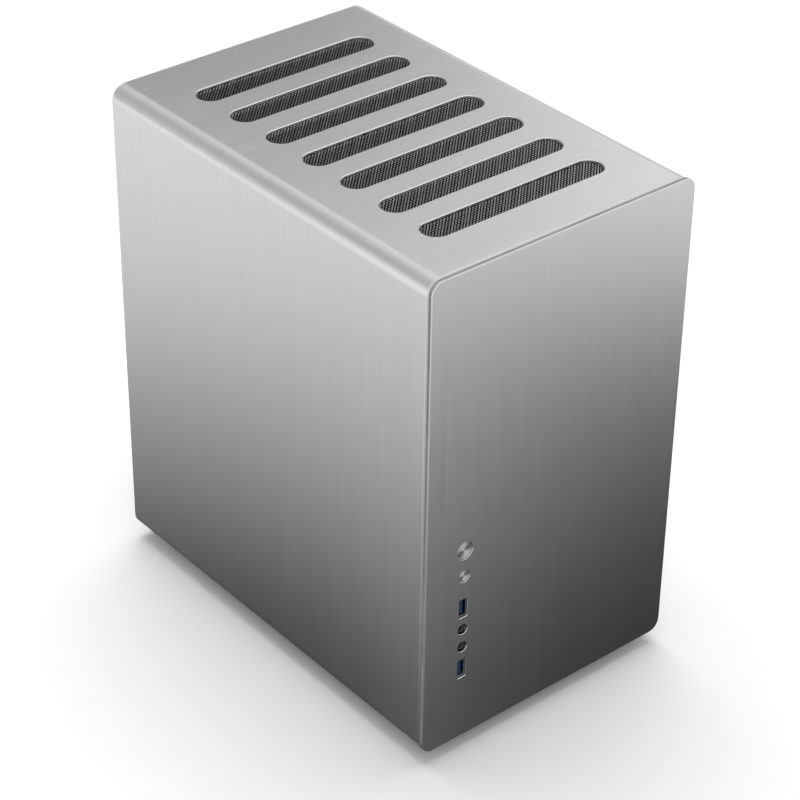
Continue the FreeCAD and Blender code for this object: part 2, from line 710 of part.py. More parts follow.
def make_rear_panel_screws():
    """Pan-head screws: four fan screws, four supply screws and one in each slot cover."""
    screws = []
    places = [(x, z, REAR_BACK, 2, 8) for x, z in fan_corners(FAN_X, FAN_Z, FAN_HOLES)]
    places += [(x, z, REAR_BACK, 1.8, 3) for x, z in psu_screw_places()]
    places += [(COVER_LEFT + 6, level, REAR_BACK + 0.8, 1.5, 3) for level in slot_levels()]
    for number, (x, z, seat, radius, reach) in enumerate(places):
        shank = rod("screw_%d_shank" % number, (x, seat - reach, z), reach, radius, "y")
        head = rod("screw_%d_head" % number, (x, seat, z), 1.4, 3.4, "y")
        screws.append(fuse("screw_%d" % number, [shank, head]))
    node("rear_panel_screws", group("rear_screw_set", screws))


def make_motherboard_tray():
    low = FLOOR + d.base_flange
    high = TOP - d.bend_radius - 4
    sheet = box("tray_sheet", (TRAY_FACE, FRAME_BACK, low), (CHASSIS_HALF, REAR_FRONT, high))
    pieces = [sheet]
    flange_low = BOARD_BOTTOM
    flange_high = BOARD_TOP - 20
    for name, start in (("front", FRAME_BACK), ("rear", REAR_FRONT - d.sheet)):
        pieces.append(box("tray_flange_" + name, (TRAY_FACE - d.tray_flange, start, flange_low),
                          (CHASSIS_HALF, start + d.sheet, flange_high)))
    holes = [box("socket_window", (TRAY_FACE - 1, SOCKET_Y - 35, SOCKET_Z - 35),
                 (CHASSIS_HALF + 1, SOCKET_Y + 35, SOCKET_Z + 35)),
             box("cable_window", (TRAY_FACE - 1, BOARD_FRONT - 26, BOARD_BOTTOM + 60),
                 (CHASSIS_HALF + 1, BOARD_FRONT - 8, BOARD_BOTTOM + 150))]
    holes += [rod("tray_hole_%d" % i, (TRAY_FACE - 1, y, z), d.sheet + 2, 1.5, "x")
              for i, (y, z) in enumerate(board_holes())]
    folded = fuse("tray_folded", pieces)
    node("motherboard_tray", cut("tray_finished", folded, holes + rivet_holes("front") + rivet_holes("rear")))


def make_top_rails():
    for name, side in (("left", -1), ("right", 1)):
        edge = BASE_HALF + 1
        legs = []
        for part, depth_in, drop in (("flat", d.rail_leg, d.sheet), ("upright", d.sheet, d.rail_leg)):
            ends = (side * edge, side * (edge - depth_in))
            left, right = (ends[1], ends[0]) if side > 0 else ends
            legs.append(box("rail_%s_%s" % (name, part), (left, FRAME_BACK, CHASSIS_TOP - drop),
                            (right, REAR_FRONT, CHASSIS_TOP)))
        node("top_rail_" + name, fuse("rail_" + name, legs))


def make_feet():
    feet = []
    for side in (-1, 1):
        for end, y in enumerate((FRONT + d.foot_inset_y, SHELL_REAR - d.foot_inset_y)):
            body = new_body("foot_%d_%d" % (side + 1, end))
            sketch = new_sketch(body, body.Name + "_profile", "XZ_Plane", 0)
            outline(sketch, [(0, 0), (d.foot_radius - 2.5, 0), (d.foot_radius - 1.5, 1),
                             (d.foot_radius, UNDERSIDE - 1), (d.foot_radius, UNDERSIDE), (0, UNDERSIDE)])
            revolve(body, sketch)
            feet.append(place(body, (side * (HALF - d.foot_inset_x), y, 0)))
    node("feet", group("foot_set", feet))


# ---- Main board, processor, cooler and memory -------------------------------------------------

SOCKET_Y = BOARD_REAR - 105
SOCKET_Z = BOARD_TOP - 78


def board_holes():
    """Board fixing holes, as distances from the rear edge and from the top edge."""
    return [(BOARD_REAR - back, BOARD_TOP - down) for back in (10.16, 165.1, 237.5)
            for down in (16.5, 171.4, 237.5)]


def make_motherboard():
    blank = box("board_blank", (BOARD_FACE, BOARD_FRONT, BOARD_BOTTOM), (BOARD_BACK, BOARD_REAR, BOARD_TOP))
    holes = [rod("board_hole_%d" % i, (BOARD_FACE - 1, y, z), d.board_thickness + 2, 2, "x")
             for i, (y, z) in enumerate(board_holes())]
    node("motherboard", cut("board_drilled", blank, holes))
    standoffs = []
    screws = []
    for i, (y, z) in enumerate(board_holes()):
        post = rod("standoff_post_%d" % i, (BOARD_BACK, y, z), d.standoff, 3, "x")
        thread = rod("standoff_thread_%d" % i, (TRAY_FACE, y, z), d.sheet, 1.5, "x")
        bore = rod("standoff_bore_%d" % i, (BOARD_BACK - 1, y, z), 5, 1.5, "x")
        standoffs.append(cut("standoff_%d" % i, fuse("standoff_solid_%d" % i, [post, thread]), [bore]))
        head = rod("board_screw_head_%d" % i, (BOARD_FACE - 1.8, y, z), 1.8, 3.2, "x")
        shank = rod("board_screw_shank_%d" % i, (BOARD_FACE, y, z), 4.5, 1.5, "x")
        screws.append(fuse("board_screw_%d" % i, [head, shank]))
    node("motherboard_standoffs", group("standoff_set", standoffs))
    node("motherboard_screws", group("board_screw_set", screws))


def board_block(name, y, z, length, height, lift, thickness):
    """A block on the board's face: centre, size along Y and Z, start above the face, thickness."""
    return box(name, (BOARD_FACE - lift - thickness, y - length / 2, z - height / 2),
               (BOARD_FACE - lift, y + length / 2, z + height / 2))


def make_processor():
    socket = board_block("socket_block", SOCKET_Y, SOCKET_Z, as_size(45), as_size(45), 0, 4)
    recess = board_block("socket_recess", SOCKET_Y, SOCKET_Z, as_size(38), as_size(38), 1, 4)
    node("cpu_socket", cut("socket_hollow", socket, [recess]))
    plate = board_block("chip_plate", SOCKET_Y, SOCKET_Z, as_size(37.5), as_size(37.5), 1, 1.5)
    lid = board_block("chip_lid", SOCKET_Y, SOCKET_Z, as_size(31), as_size(31), 2.5, 3.3)
    node("processor", fuse("chip", [plate, lid]))


def path_of(points, widest=0.0):
    """Straight runs joined by tangent arcs, as large as the runs allow or up to the widest radius."""
    corners = [FreeCAD.Vector(*point) for point in points]
    edges = []
    cursor = corners[0]
    for before, corner, after in zip(corners, corners[1:], corners[2:]):
        incoming = (corner - before).normalize()
        outgoing = (after - corner).normalize()
        turn = incoming.getAngle(outgoing)
        setback = 0.45 * min((corner - before).Length, (after - corner).Length)
        radius = setback / math.tan(turn / 2)
        if widest and radius > widest:
            radius = widest
            setback = radius * math.tan(turn / 2)
        start = corner - incoming * setback
        end = corner + outgoing * setback
        bisector = (outgoing - incoming).normalize()
        centre = corner + bisector * (radius / math.cos(turn / 2))
        mid = centre - bisector * radius
        edges.append(Part.LineSegment(cursor, start).toShape())
        edges.append(Part.Arc(start, mid, end).toShape())
        cursor = end
    edges.append(Part.LineSegment(cursor, corners[-1]).toShape())
    return Part.Wire(edges)


def tube_shape(points, radius, bend=0.0):
    path = path_of(points, bend)
    direction = FreeCAD.Vector(*points[1]) - FreeCAD.Vector(*points[0])
    profile = Part.Wire([Part.Circle(FreeCAD.Vector(*points[0]), direction, radius).toShape()])
    return path.makePipeShell([profile], True, True), path.Length


def pipe_routes():
    """Three U-shaped heat pipes: through the base along Z, then out along -X."""
    base_x = (BOARD_FACE - 5.8 - 5).value
    tip_x = FIN_FIRST.value - 2
    for offset in (-12, 0, 12):
        y = SOCKET_Y.value + offset
        low = SOCKET_Z.value - 32
        high = SOCKET_Z.value + 32
        yield [(tip_x, y, low), (base_x, y, low), (base_x, y, high), (tip_x, y, high)]


PROCESSOR_TOP = BOARD_FACE - 5.8
FIN_LAST = PROCESSOR_TOP - 26
FIN_FIRST = FIN_LAST - d.fin_pitch * (d.fin_count - 1)
FIN_MIDDLE = (FIN_FIRST + FIN_LAST) / 2
FIN_HALF_Y = as_size(24)


def make_cooler():
    radius = d.pipe_radius.value
    base = Part.makeBox(10, 42, 46, FreeCAD.Vector((PROCESSOR_TOP - 10).value, SOCKET_Y.value - 21,
                                                   SOCKET_Z.value - 23))
    solids = [tube_shape(route, radius, 4 * radius)[0] for route in pipe_routes()]
    core = DOC.addObject("Part::Feature", "cooler_core_shape")
    core.Shape = base.multiFuse(solids)
    core.Placement = FreeCAD.Placement()
    node("cooler_core", core)

    half_z = d.cooler_size / 2 + 4
    plates = []
    for number in range(int(d.fin_count.value)):
        x = FIN_FIRST + d.fin_pitch * number
        plates.append(box("fin_%d" % number, (x, SOCKET_Y - FIN_HALF_Y, SOCKET_Z - half_z),
                          (x + d.fin_thickness, SOCKET_Y + FIN_HALF_Y, SOCKET_Z + half_z)))
    for number, side in enumerate((-1, 1)):
        edge = SOCKET_Z + side * half_z
        lower, upper = (edge - 0.6, edge) if side > 0 else (edge, edge + 0.6)
        plates.append(box("fin_strip_%d" % number, (FIN_FIRST, SOCKET_Y - 9, lower),
                          (FIN_LAST, SOCKET_Y + 9, upper)))
    holes = []
    for side in (-32, 32):
        for offset in (-12, 0, 12):
            holes.append(rod("pipe_hole_%d_%d" % (side, offset), (FIN_FIRST - 5, SOCKET_Y + offset,
                                                                  SOCKET_Z + side),
                             FIN_LAST - FIN_FIRST + 10, d.pipe_radius, "x"))
    node("cooler_fins", cut("fin_stack", fuse("fin_blank", plates), holes))


REARWARD = FreeCAD.Rotation(FreeCAD.Vector(1, 0, 0), 90)
DOWNWARD = FreeCAD.Rotation(FreeCAD.Vector(1, 0, 0), 180)


def make_fan(frame_name, rotor_name, size, where, rotation, hub, holes_apart):
    """A fan built about its own Z axis, with its motor plate at Z = 0, then placed."""
    half = size / 2
    bore = half - d.fan_rim
    name = frame_name + "_"
    block = box(name + "block", (-half, -half, 0), (half, half, d.fan_depth))
    cuts = [rod(name + "bore", (0, 0, -1), d.fan_depth + 2, bore)]
    for number, (x, y) in enumerate(fan_corners(0, 0, holes_apart)):
        cuts.append(rod(name + "hole_%d" % number, (x, y, -1), d.fan_depth + 2, 2.2))
    pieces = [cut(name + "ring", block, cuts)]
    pieces.append(rod(name + "plate", (0, 0, 0), 3, hub))
    pieces.append(rod(name + "post", (0, 0, 0), 14, 4))
    pieces.append(box(name + "strut_x", (-bore - 0.5, -3, 0), (bore + 0.5, 3, 3)))
    pieces.append(box(name + "strut_y", (-3, -bore - 0.5, 0), (3, bore + 0.5, 3)))
    bearing = rod(name + "bearing", (0, 0, 4), 12, d.shaft_radius + d.shaft_gap)
    frame = cut(name + "bored", fuse(name + "solid", pieces), [bearing])
    node(frame_name, place(frame, where, rotation))

    name = rotor_name + "_"
    cup = rod(name + "cup", (0, 0, 4), d.fan_depth - 5, hub)
    hollow = rod(name + "hollow", (0, 0, 3), 14, 6)
    shaft = rod(name + "shaft", (0, 0, 6), 12, d.shaft_radius)
    tip = bore - d.tip_gap
    chord = (size.value / 2 - hub.value) * 0.75
    pitch = FreeCAD.Rotation(FreeCAD.Vector(1, 0, 0), 35)
    blades = []
    for number in range(int(d.blade_count.value)):
        blade = DOC.addObject("Part::Box", name + "blade_%d" % number)
        bind(blade, "Length", bore - hub + 1)
        blade.Width = chord
        bind(blade, "Height", d.blade_thickness)
        spin = FreeCAD.Rotation(FreeCAD.Vector(0, 0, 1), 360 * number / d.blade_count.value)
        offset = FreeCAD.Vector(0, -chord / 2, -d.blade_thickness.value / 2)
        corner = FreeCAD.Vector(hub.value - 1, 0, d.fan_depth.value / 2 + 1.5) + pitch.multVec(offset)
        blade.Placement = FreeCAD.Placement(spin.multVec(corner), spin.multiply(pitch))
        blades.append(blade)
    swept = rod(name + "swept", (0, 0, 4.5), d.fan_depth - 6.5, tip)
    trimmed = common(name + "blades", group(name + "blade_set", blades), swept)
    hub_shell = cut(name + "hub", cup, [hollow])
    node(rotor_name, place(fuse(name + "solid", [hub_shell, shaft, trimmed]), where, rotation))


def make_memory():
    sockets = []
    for number, step in enumerate((0, 10)):
        y = SOCKET_Y - 76 - step
        middle = BOARD_TOP - 76
        block = board_block("memory_socket_%d" % number, y, middle, as_size(6.5), as_size(142), 0, 8)
        groove = board_block("memory_groove_%d" % number, y, middle, as_size(1.5), as_size(133.6), 2, 8)
        sockets.append(cut("memory_slot_%d" % number, block, [groove]))
        card = board_block("memory_card_%d" % number, y, middle, as_size(1.4), as_size(133.35), 2.2, 31)
        spreader = board_block("memory_spreader_%d" % number, y, middle, as_size(5), as_size(132), 9, 26)
        node("memory_module_%d" % (number + 1), fuse("memory_%d" % number, [card, spreader]))
    return sockets


def make_board_fittings():
    sockets = make_memory()
    levels = slot_levels()
    for number, (level, length) in enumerate(((levels[3], 89), (levels[0], 25))):
        y = BOARD_REAR - 48 - length / 2
        block = board_block("card_socket_%d" % number, y, level, as_size(length), as_size(7.5), 0, 11)
        groove = board_block("card_groove_%d" % number, y, level, as_size(length - 4), as_size(2), 3, 11)
        sockets.append(cut("card_slot_%d" % number, block, [groove]))
    node("board_sockets", group("board_socket_set", sockets))

    chip_y = BOARD_FRONT + 60
    chip_z = BOARD_BOTTOM + 45
    sink = board_block("chip_sink", chip_y, chip_z, as_size(40), as_size(40), 0, 13)
    grooves = [board_block("sink_groove_%d" % i, chip_y - 15 + 6 * i, chip_z, as_size(3), as_size(42), 4, 12)
               for i in range(6)]
    node("chipset_heatsink", cut("sink_finned", sink, grooves))


def port_layout():
    """Rear sockets as height, size across X, size along Z, and how the cavity is shaped."""
    return [("usb_low", 24, 13.2, 15.4), ("display", 52, 6, 15.6), ("usb_mid", 78, 13.2, 15.4),
            ("network", 104, 13.6, 16), ("usb_high", 120, 6.6, 13.4)]


def make_io_shield():
    sheet = box("shield_sheet", (SHIELD_LEFT, REAR_FRONT, SHIELD_BOTTOM), (SHIELD_RIGHT, REAR_BACK - 0.4,
                                                                          SHIELD_TOP))
    centre_x = BOARD_FACE - 10
    holes = []
    ports = []
    for name, height, across, along in port_layout():
        level = SHIELD_BOTTOM + height
        left = centre_x - across / 2
        right = centre_x + across / 2
        holes.append(box(name + "_cut", (left - 0.3, REAR_FRONT - 1, level - along / 2 - 0.3),
                         (right + 0.3, REAR_BACK, level + along / 2 + 0.3)))
        block = box(name + "_block", (left, BOARD_REAR - 20, level - along / 2),
                    (right, REAR_BACK + 0.4, level + along / 2))
        cavity = box(name + "_cavity", (left + 0.7, REAR_BACK - 12, level - along / 2 + 0.7),
                     (right - 0.7, REAR_BACK + 1, level + along / 2 - 0.7))
        ports.append(cut(name + "_hollow", block, [cavity]))
    for number in range(3):
        level = SHIELD_BOTTOM + 137
        x = BOARD_FACE - 8 - 13 * number
        holes.append(rod("audio_cut_%d" % number, (x, REAR_FRONT - 1, level), 4, 4.6, "y"))
        nose = rod("audio_nose_%d" % number, (x, BOARD_REAR - 10, level), REAR_BACK + 0.8 - BOARD_REAR + 10,
                   4.3, "y")
        bore = rod("audio_bore_%d" % number, (x, REAR_BACK - 13, level), 16, 1.8, "y")
        ports.append(cut("audio_port_%d" % number, nose, [bore]))
    node("io_shield", cut("shield_pierced", sheet, holes))
    node("rear_ports", group("port_set", ports))


# ---- Power supply -----------------------------------------------------------------------------

INLET_X = as_size(-44)
ROCKER_X = as_size(-14)
SUPPLY_Z = (FLOOR + PSU_TOP) / 2
PSU_MIDDLE = PSU_FRONT + d.psu_depth / 2


def make_psu_case():
    sheet = d.psu_sheet
    half = PSU_HALF - sheet
    roof = PSU_TOP - sheet
    pieces = [box("psu_floor", (-half, PSU_FRONT, FLOOR), (half, REAR_FRONT, FLOOR + sheet)),
              box("psu_front", (-half, PSU_FRONT, FLOOR), (half, PSU_FRONT + sheet, roof)),
              box("psu_rear", (-half, REAR_FRONT - sheet, FLOOR), (half, REAR_FRONT, roof))]
    start = REAR_FRONT - sheet - 1
    holes = [rod("psu_fan_opening", (0, PSU_MIDDLE, FLOOR - 1), sheet + 2, d.fan_size / 2 - 3),
             box("inlet_opening", (INLET_X - 13.6, start, SUPPLY_Z - 10), (INLET_X + 13.6, REAR_FRONT + 1,
                                                                         SUPPLY_Z + 10)),
             box("rocker_opening", (ROCKER_X - 7.5, start, SUPPLY_Z - 10.6), (ROCKER_X + 7.5, REAR_FRONT + 1,
                                                                           SUPPLY_Z + 10.6)),
             rod("cable_exit", (0, PSU_FRONT - 1, PSU_TOP - 16), sheet + 2, 11, "y")]
    holes += honeycomb("psu_vent", 32, SUPPLY_Z, 27, 29, 6.5, 2.7, start, sheet + 2, False)
    holes += [rod("psu_thread_%d" % i, (x, start, z), sheet + 2, 1.8, "y")
              for i, (x, z) in enumerate(psu_screw_places())]
    node("psu_case", cut("psu_case_opened", fuse("psu_case_folded", pieces), holes))
    outer = box("psu_cover_outer", (-PSU_HALF, PSU_FRONT, FLOOR), (PSU_HALF, REAR_FRONT, PSU_TOP))
    inner = box("psu_cover_inner", (-half, PSU_FRONT - 1, FLOOR - 1), (half, REAR_FRONT + 1, roof))
    node("psu_cover", cut("psu_cover_folded", outer, [inner]))


def make_psu_inlet():
    """The mains inlet and the switch's frame, each with a flange on the outside of the case."""
    pieces = []
    cuts = []
    for name, x, half_x, half_z, flange in (("inlet", INLET_X, 13.5, 9.9, 1.5),
                                            ("rocker", ROCKER_X, 7.4, 10.5, 1.5)):
        pieces.append(box(name + "_flange", (x - half_x - flange, REAR_FRONT, SUPPLY_Z - half_z - flange),
                          (x + half_x + flange, REAR_BACK + 0.6, SUPPLY_Z + half_z + flange)))
        pieces.append(box(name + "_housing", (x - half_x, REAR_FRONT - 17, SUPPLY_Z - half_z),
                          (x + half_x, REAR_FRONT, SUPPLY_Z + half_z)))
    cuts.append(box("inlet_cavity", (INLET_X - 12.2, REAR_FRONT - 14, SUPPLY_Z - 8.2),
                    (INLET_X + 12.2, REAR_BACK + 1, SUPPLY_Z + 8.2)))
    cuts.append(box("rocker_cavity", (ROCKER_X - 6.4, REAR_FRONT - 10, SUPPLY_Z - 9.4),
                    (ROCKER_X + 6.4, REAR_BACK + 1, SUPPLY_Z + 9.4)))
    cuts.append(rod("rocker_bearing", (ROCKER_X - 7, ROCKER_Y, SUPPLY_Z), 14, 1 + d.shaft_gap, "x"))
    bridge = box("inlet_bridge", (INLET_X + 13, REAR_FRONT, SUPPLY_Z - 8), (ROCKER_X - 7, REAR_BACK + 0.6,
                                                                        SUPPLY_Z + 8))
    housing = cut("inlet_hollow", fuse("inlet_solid", pieces + [bridge]), cuts)
    pins = []
    for number, (x, z) in enumerate(((-7, -3.5), (0, 3.5), (7, -3.5))):
        pins.append(box("inlet_pin_%d" % number, (INLET_X + x - 1, REAR_FRONT - 14.5, SUPPLY_Z + z - 2),
                        (INLET_X + x + 1, REAR_FRONT - 3, SUPPLY_Z + z + 2)))
    node("psu_inlet", fuse("inlet_with_pins", [housing] + pins))


ROCKER_Y = REAR_FRONT - 2
ROCKER_TILT = 7


def make_psu_rocker():
    """The switch's paddle, stored tilted to its upper stop, on a pin along X."""
    paddle = box("rocker_paddle", (-6, -3, -8.2), (6, 2.6, 8.2))
    pin = rod("rocker_pin", (-7, 0, 0), 14, 1, "x")
    rocker = fuse("rocker_solid", [paddle, pin])
    tilt = FreeCAD.Rotation(FreeCAD.Vector(1, 0, 0), -ROCKER_TILT)
    node("psu_rocker", place(rocker, (ROCKER_X, ROCKER_Y, SUPPLY_Z), tilt))


# ---- Drives and cables ------------------------------------------------------------------------

DISK_FRONT = FRAME_BACK + 3
DISK_BOTTOM = FLOOR + 3
SHELF_TOP = DISK_BOTTOM + d.disk_height + 4
SSD_FRONT = DISK_FRONT + 28
SSD_END = SSD_FRONT + d.ssd_length


def drive_screw_places():
    for side in (-1, 1):
        for back in (28, 130):
            yield side, DISK_FRONT + back, DISK_BOTTOM + 6.35


def make_drives():
    half = d.disk_width / 2
    lower = box("disk_casting", (-half, DISK_FRONT, DISK_BOTTOM), (half, DISK_FRONT + d.disk_length,
                                                                   DISK_BOTTOM + d.disk_height - 4))
    upper = box("disk_lid", (3 - half, DISK_FRONT + 3, DISK_BOTTOM),
                (half - 3, DISK_FRONT + d.disk_length - 3, DISK_BOTTOM + d.disk_height))
    disk_holes = []
    wall_holes = []
    screws = []
    wall = half + d.disk_gap
    for number, (side, y, z) in enumerate(drive_screw_places()):
        inner = half - 3
        start = inner if side > 0 else -(wall + d.sheet + 1)
        length = wall + d.sheet + 1 - inner
        disk_holes.append(rod("disk_hole_%d" % number, (start, y, z), length, 1.6, "x"))
        wall_holes.append(rod("wall_hole_%d" % number, (start, y, z), length, 1.6, "x"))
        shank_start = inner if side > 0 else -(wall + d.sheet)
        shank = rod("disk_screw_shank_%d" % number, (shank_start, y, z), wall + d.sheet - inner, 1.6, "x")
        head_start = wall + d.sheet if side > 0 else -(wall + d.sheet + 1.6)
        head = rod("disk_screw_head_%d" % number, (head_start, y, z), 1.6, 3, "x")
        screws.append(fuse("disk_screw_%d" % number, [shank, head]))
    node("hard_drive", cut("disk_drilled", fuse("disk_solid", [lower, upper]), disk_holes))

    long_end = DISK_FRONT + d.disk_length - 10
    walls = []
    for number, side in enumerate((-1, 1)):
        for part, inner, outer, low, high in (("wall", wall, wall + d.sheet, FLOOR, SHELF_TOP),
                                              ("foot", wall, wall + 12, FLOOR, FLOOR + d.sheet)):
            left, right = (inner, outer) if side > 0 else (-outer, -inner)
            walls.append(box("cage_%s_%d" % (part, number), (left, DISK_FRONT + 10, low),
                             (right, long_end, high)))
    walls.append(box("cage_shelf", (-wall, DISK_FRONT + 10, SHELF_TOP - d.sheet),
                     (wall, long_end, SHELF_TOP)))
    node("drive_cage", cut("cage_drilled", fuse("cage_folded", walls), wall_holes))
    node("drive_screws", group("disk_screw_set", screws))

    ssd_half = d.ssd_width / 2
    node("solid_state_drive", box("ssd_body", (-ssd_half, SSD_FRONT, SHELF_TOP),
                                  (ssd_half, SSD_END, SHELF_TOP + d.ssd_height)))


DISK_END = DISK_FRONT + d.disk_length
PLUG_DEPTH = 12
PLUG_FACE = BOARD_FACE - PLUG_DEPTH

# where each plug stands on the board: place along Y, height, and its size along Y and Z
BOARD_PLUGS = {
    "main": (BOARD_FRONT + 9.5, BOARD_BOTTOM + 132, 10, 52),
    "processor": (BOARD_REAR - 30.5, BOARD_TOP - 20, 18, 10),
    "data": (BOARD_FRONT + 8.5, BOARD_BOTTOM + 48, 8, 16),
    "ports": (BOARD_FRONT + 7.5, BOARD_BOTTOM + 22, 8, 20),
}


def plug_end(name):
    y, z = BOARD_PLUGS[name][:2]
    return PLUG_FACE, y, z


# radius, where it starts and ends, and a route chosen by hand: x, distance behind the front, height
CABLES = {
    "main_power_cable": (
        5.0, (3, PSU_FRONT + 3.5, PSU_TOP - 16), plug_end("main"),
        [(3, 192, 83.5), (6, 168, 85), (28, 134, 104), (46, 106, 146), (52, 94, 200), (62, 92, 236),
         (84.9, 92, 236)]),
    "processor_power_cable": (
        3.5, (-6, PSU_FRONT + 3.5, PSU_TOP - 13), plug_end("processor"),
        [(-6, 192, 86.5), (-7, 176, 87.5), (-30, 162, 112), (-60, 156, 160), (-72, 156, 228),
         (-66, 170, 300), (-44, 210, 343), (0, 262, 350), (48, 292, 342), (64, 296, 328),
         (84.9, 296, 328)]),
    "drive_power_cable": (
        2.5, (-5, PSU_FRONT + 3.5, PSU_TOP - 21), (-40, DISK_END + 4.3, DISK_BOTTOM + 13.5),
        [(-5, 192, 78.5), (-9, 178, 76), (-32, 167, 68), (-40, 165.5, 48), (-40, 165.5, 30)]),
    "drive_data_cable": (
        2.0, (12, SSD_END + 2.75, SHELF_TOP + 6), plug_end("data"),
        [(12, 145.4, 52.6), (12, 145.4, 62), (16, 140, 84), (24, 116, 112), (42, 98, 136), (66, 91, 152),
         (84.9, 91, 152)]),
    "front_port_cable": (
        2.5, (COLUMN, FRONT + 50, BOTTOM + 70), plug_end("ports"),
        [(-76.6, 50, 80), (-76.6, 66, 80), (-56, 90, 88), (0, 98, 94), (48, 94, 106), (66, 90, 126),
         (84.9, 90, 126)]),
}


def settled_route(points, start, end):
    """The route with its end runs moved onto start and end; the points between share the move."""
    route = [FreeCAD.Vector(x, FRONT.value + back, z) for x, back, z in points]
    start_move, end_move = (FreeCAD.Vector(*[as_size(size).value for size in goal]) - point
                            for goal, point in ((start, route[0]), (end, route[-1])))
    shares = [min(max((number - 1) / (len(route) - 3), 0), 1) for number in range(len(route))]
    return [point + start_move * (1 - share) + end_move * share for point, share in zip(route, shares)]


def make_cable(name, radius, start, end, points):
    shape, length = tube_shape(settled_route(points, start, end), radius)
    ratio = shape.Volume / (math.pi * radius ** 2 * length)
    print("%s: length %.0f mm, volume ratio %.4f" % (name, length, ratio))
    cable = DOC.addObject("Part::Feature", name + "_tube")
    cable.Shape = shape
    cable.Placement = FreeCAD.Placement()
    node(name, cable)


def make_cables():
    for name, (radius, start, end, points) in CABLES.items():
        make_cable(name, radius, start, end, points)
    plugs = [board_block("plug_" + name, y, z, as_size(length), as_size(height), 0, PLUG_DEPTH)
             for name, (y, z, length, height) in BOARD_PLUGS.items()]
    plugs.append(box("plug_disk", (-54, DISK_END, DISK_BOTTOM + 4), (-26, DISK_END + 8, DISK_BOTTOM + 13.5)))
    plugs.append(box("plug_ssd", (2, SSD_END, SHELF_TOP + 1), (22, SSD_END + 5.5, SHELF_TOP + 6)))
    plugs.append(box("plug_front", (IO_FACE, FRONT + 36, BOTTOM + 64),
                     (IO_FACE + 6, FRONT + 50, BOTTOM + 76)))
    node("cable_plugs", group("plug_set", plugs))


MAKERS = (
    make_outer_shell, make_top_filter, make_shell_thumbscrews, make_front_panel,
    lambda: make_button("power_button", d.power_radius, d.power_height),
    lambda: make_button("reset_button", d.reset_radius, d.reset_height),
    lambda: make_switch("power_switch", d.power_height, as_size(8)),
    lambda: make_switch("reset_switch", d.reset_height, as_size(8)),
    lambda: make_usb_port("upper", d.usb_high),
    lambda: make_usb_port("lower", d.usb_low),
    lambda: make_jack("headphone_jack", d.jack_high),
    lambda: make_jack("microphone_jack", d.jack_low),
    make_front_io_board, make_front_panel_studs, make_front_frame, make_base_plate, make_rear_panel,
    make_slot_covers, make_rear_panel_screws, make_motherboard_tray, make_top_rails, make_feet,
    make_chassis_rivets, make_motherboard, make_processor, make_cooler,
    lambda: make_fan("cooler_fan_frame", "cooler_fan_rotor", d.cooler_size,
                     (FIN_MIDDLE, SOCKET_Y - FIN_HALF_Y, SOCKET_Z),
                     REARWARD, d.hub_radius - 3, d.cooler_size - 9.5),
    lambda: make_fan("rear_fan_frame", "rear_fan_rotor", d.fan_size, (FAN_X, REAR_FRONT, FAN_Z),
                     REARWARD, d.hub_radius, FAN_HOLES),
    make_board_fittings, make_io_shield, make_psu_case,
    lambda: make_fan("psu_fan_frame", "psu_fan_rotor", d.fan_size,
                     (0, PSU_MIDDLE, FLOOR + d.psu_sheet + d.fan_depth),
                     DOWNWARD, d.hub_radius, FAN_HOLES),
    make_psu_inlet, make_psu_rocker, make_drives, make_cables,
)


def check_document():
    DOC.recompute()
    for thing in DOC.Objects:
        if "Invalid" in thing.State or "Error" in thing.State:
            raise RuntimeError("feature failed: %s %s" % (thing.Label, thing.State))
    for piece in NODES:
        if piece.Shape.isNull() or not piece.Shape.isValid() or not piece.Shape.Solids:
            raise RuntimeError("bad shape: " + piece.Label)


def main():
    for make in MAKERS:
        make()
    check_document()
    os.makedirs("parts", exist_ok=True)
    for piece in NODES:
        piece.Shape.exportStep("parts/%s.step" % piece.Label)
    print("%d sub-parts written" % len(NODES))


main()
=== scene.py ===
import json
import math
import random

import bmesh
import bpy
from mathutils import Matrix, Vector


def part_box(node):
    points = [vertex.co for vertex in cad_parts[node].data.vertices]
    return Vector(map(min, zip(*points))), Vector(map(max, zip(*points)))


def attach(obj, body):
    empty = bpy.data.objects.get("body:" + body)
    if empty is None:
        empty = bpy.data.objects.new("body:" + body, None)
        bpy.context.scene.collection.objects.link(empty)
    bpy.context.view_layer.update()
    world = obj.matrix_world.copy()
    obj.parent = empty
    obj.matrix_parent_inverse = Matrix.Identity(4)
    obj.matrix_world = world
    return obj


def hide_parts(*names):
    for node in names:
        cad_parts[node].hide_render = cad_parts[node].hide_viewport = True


# A desktop computer tower in brushed aluminium. Lengths are in metres in the frame's own axes:
# +Z is up, the front faces -Y, +X is to the right seen from the front.

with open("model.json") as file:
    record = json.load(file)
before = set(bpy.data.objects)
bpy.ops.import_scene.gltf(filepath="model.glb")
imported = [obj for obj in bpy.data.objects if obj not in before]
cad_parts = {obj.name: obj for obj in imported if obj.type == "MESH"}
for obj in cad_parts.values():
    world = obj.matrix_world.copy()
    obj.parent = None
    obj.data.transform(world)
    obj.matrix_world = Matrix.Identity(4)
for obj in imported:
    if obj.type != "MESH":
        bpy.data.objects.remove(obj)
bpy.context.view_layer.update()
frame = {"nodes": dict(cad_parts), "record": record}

MM = 0.001
RANDOM = random.Random(7)

# ---- Sizes worked out from the frame ----

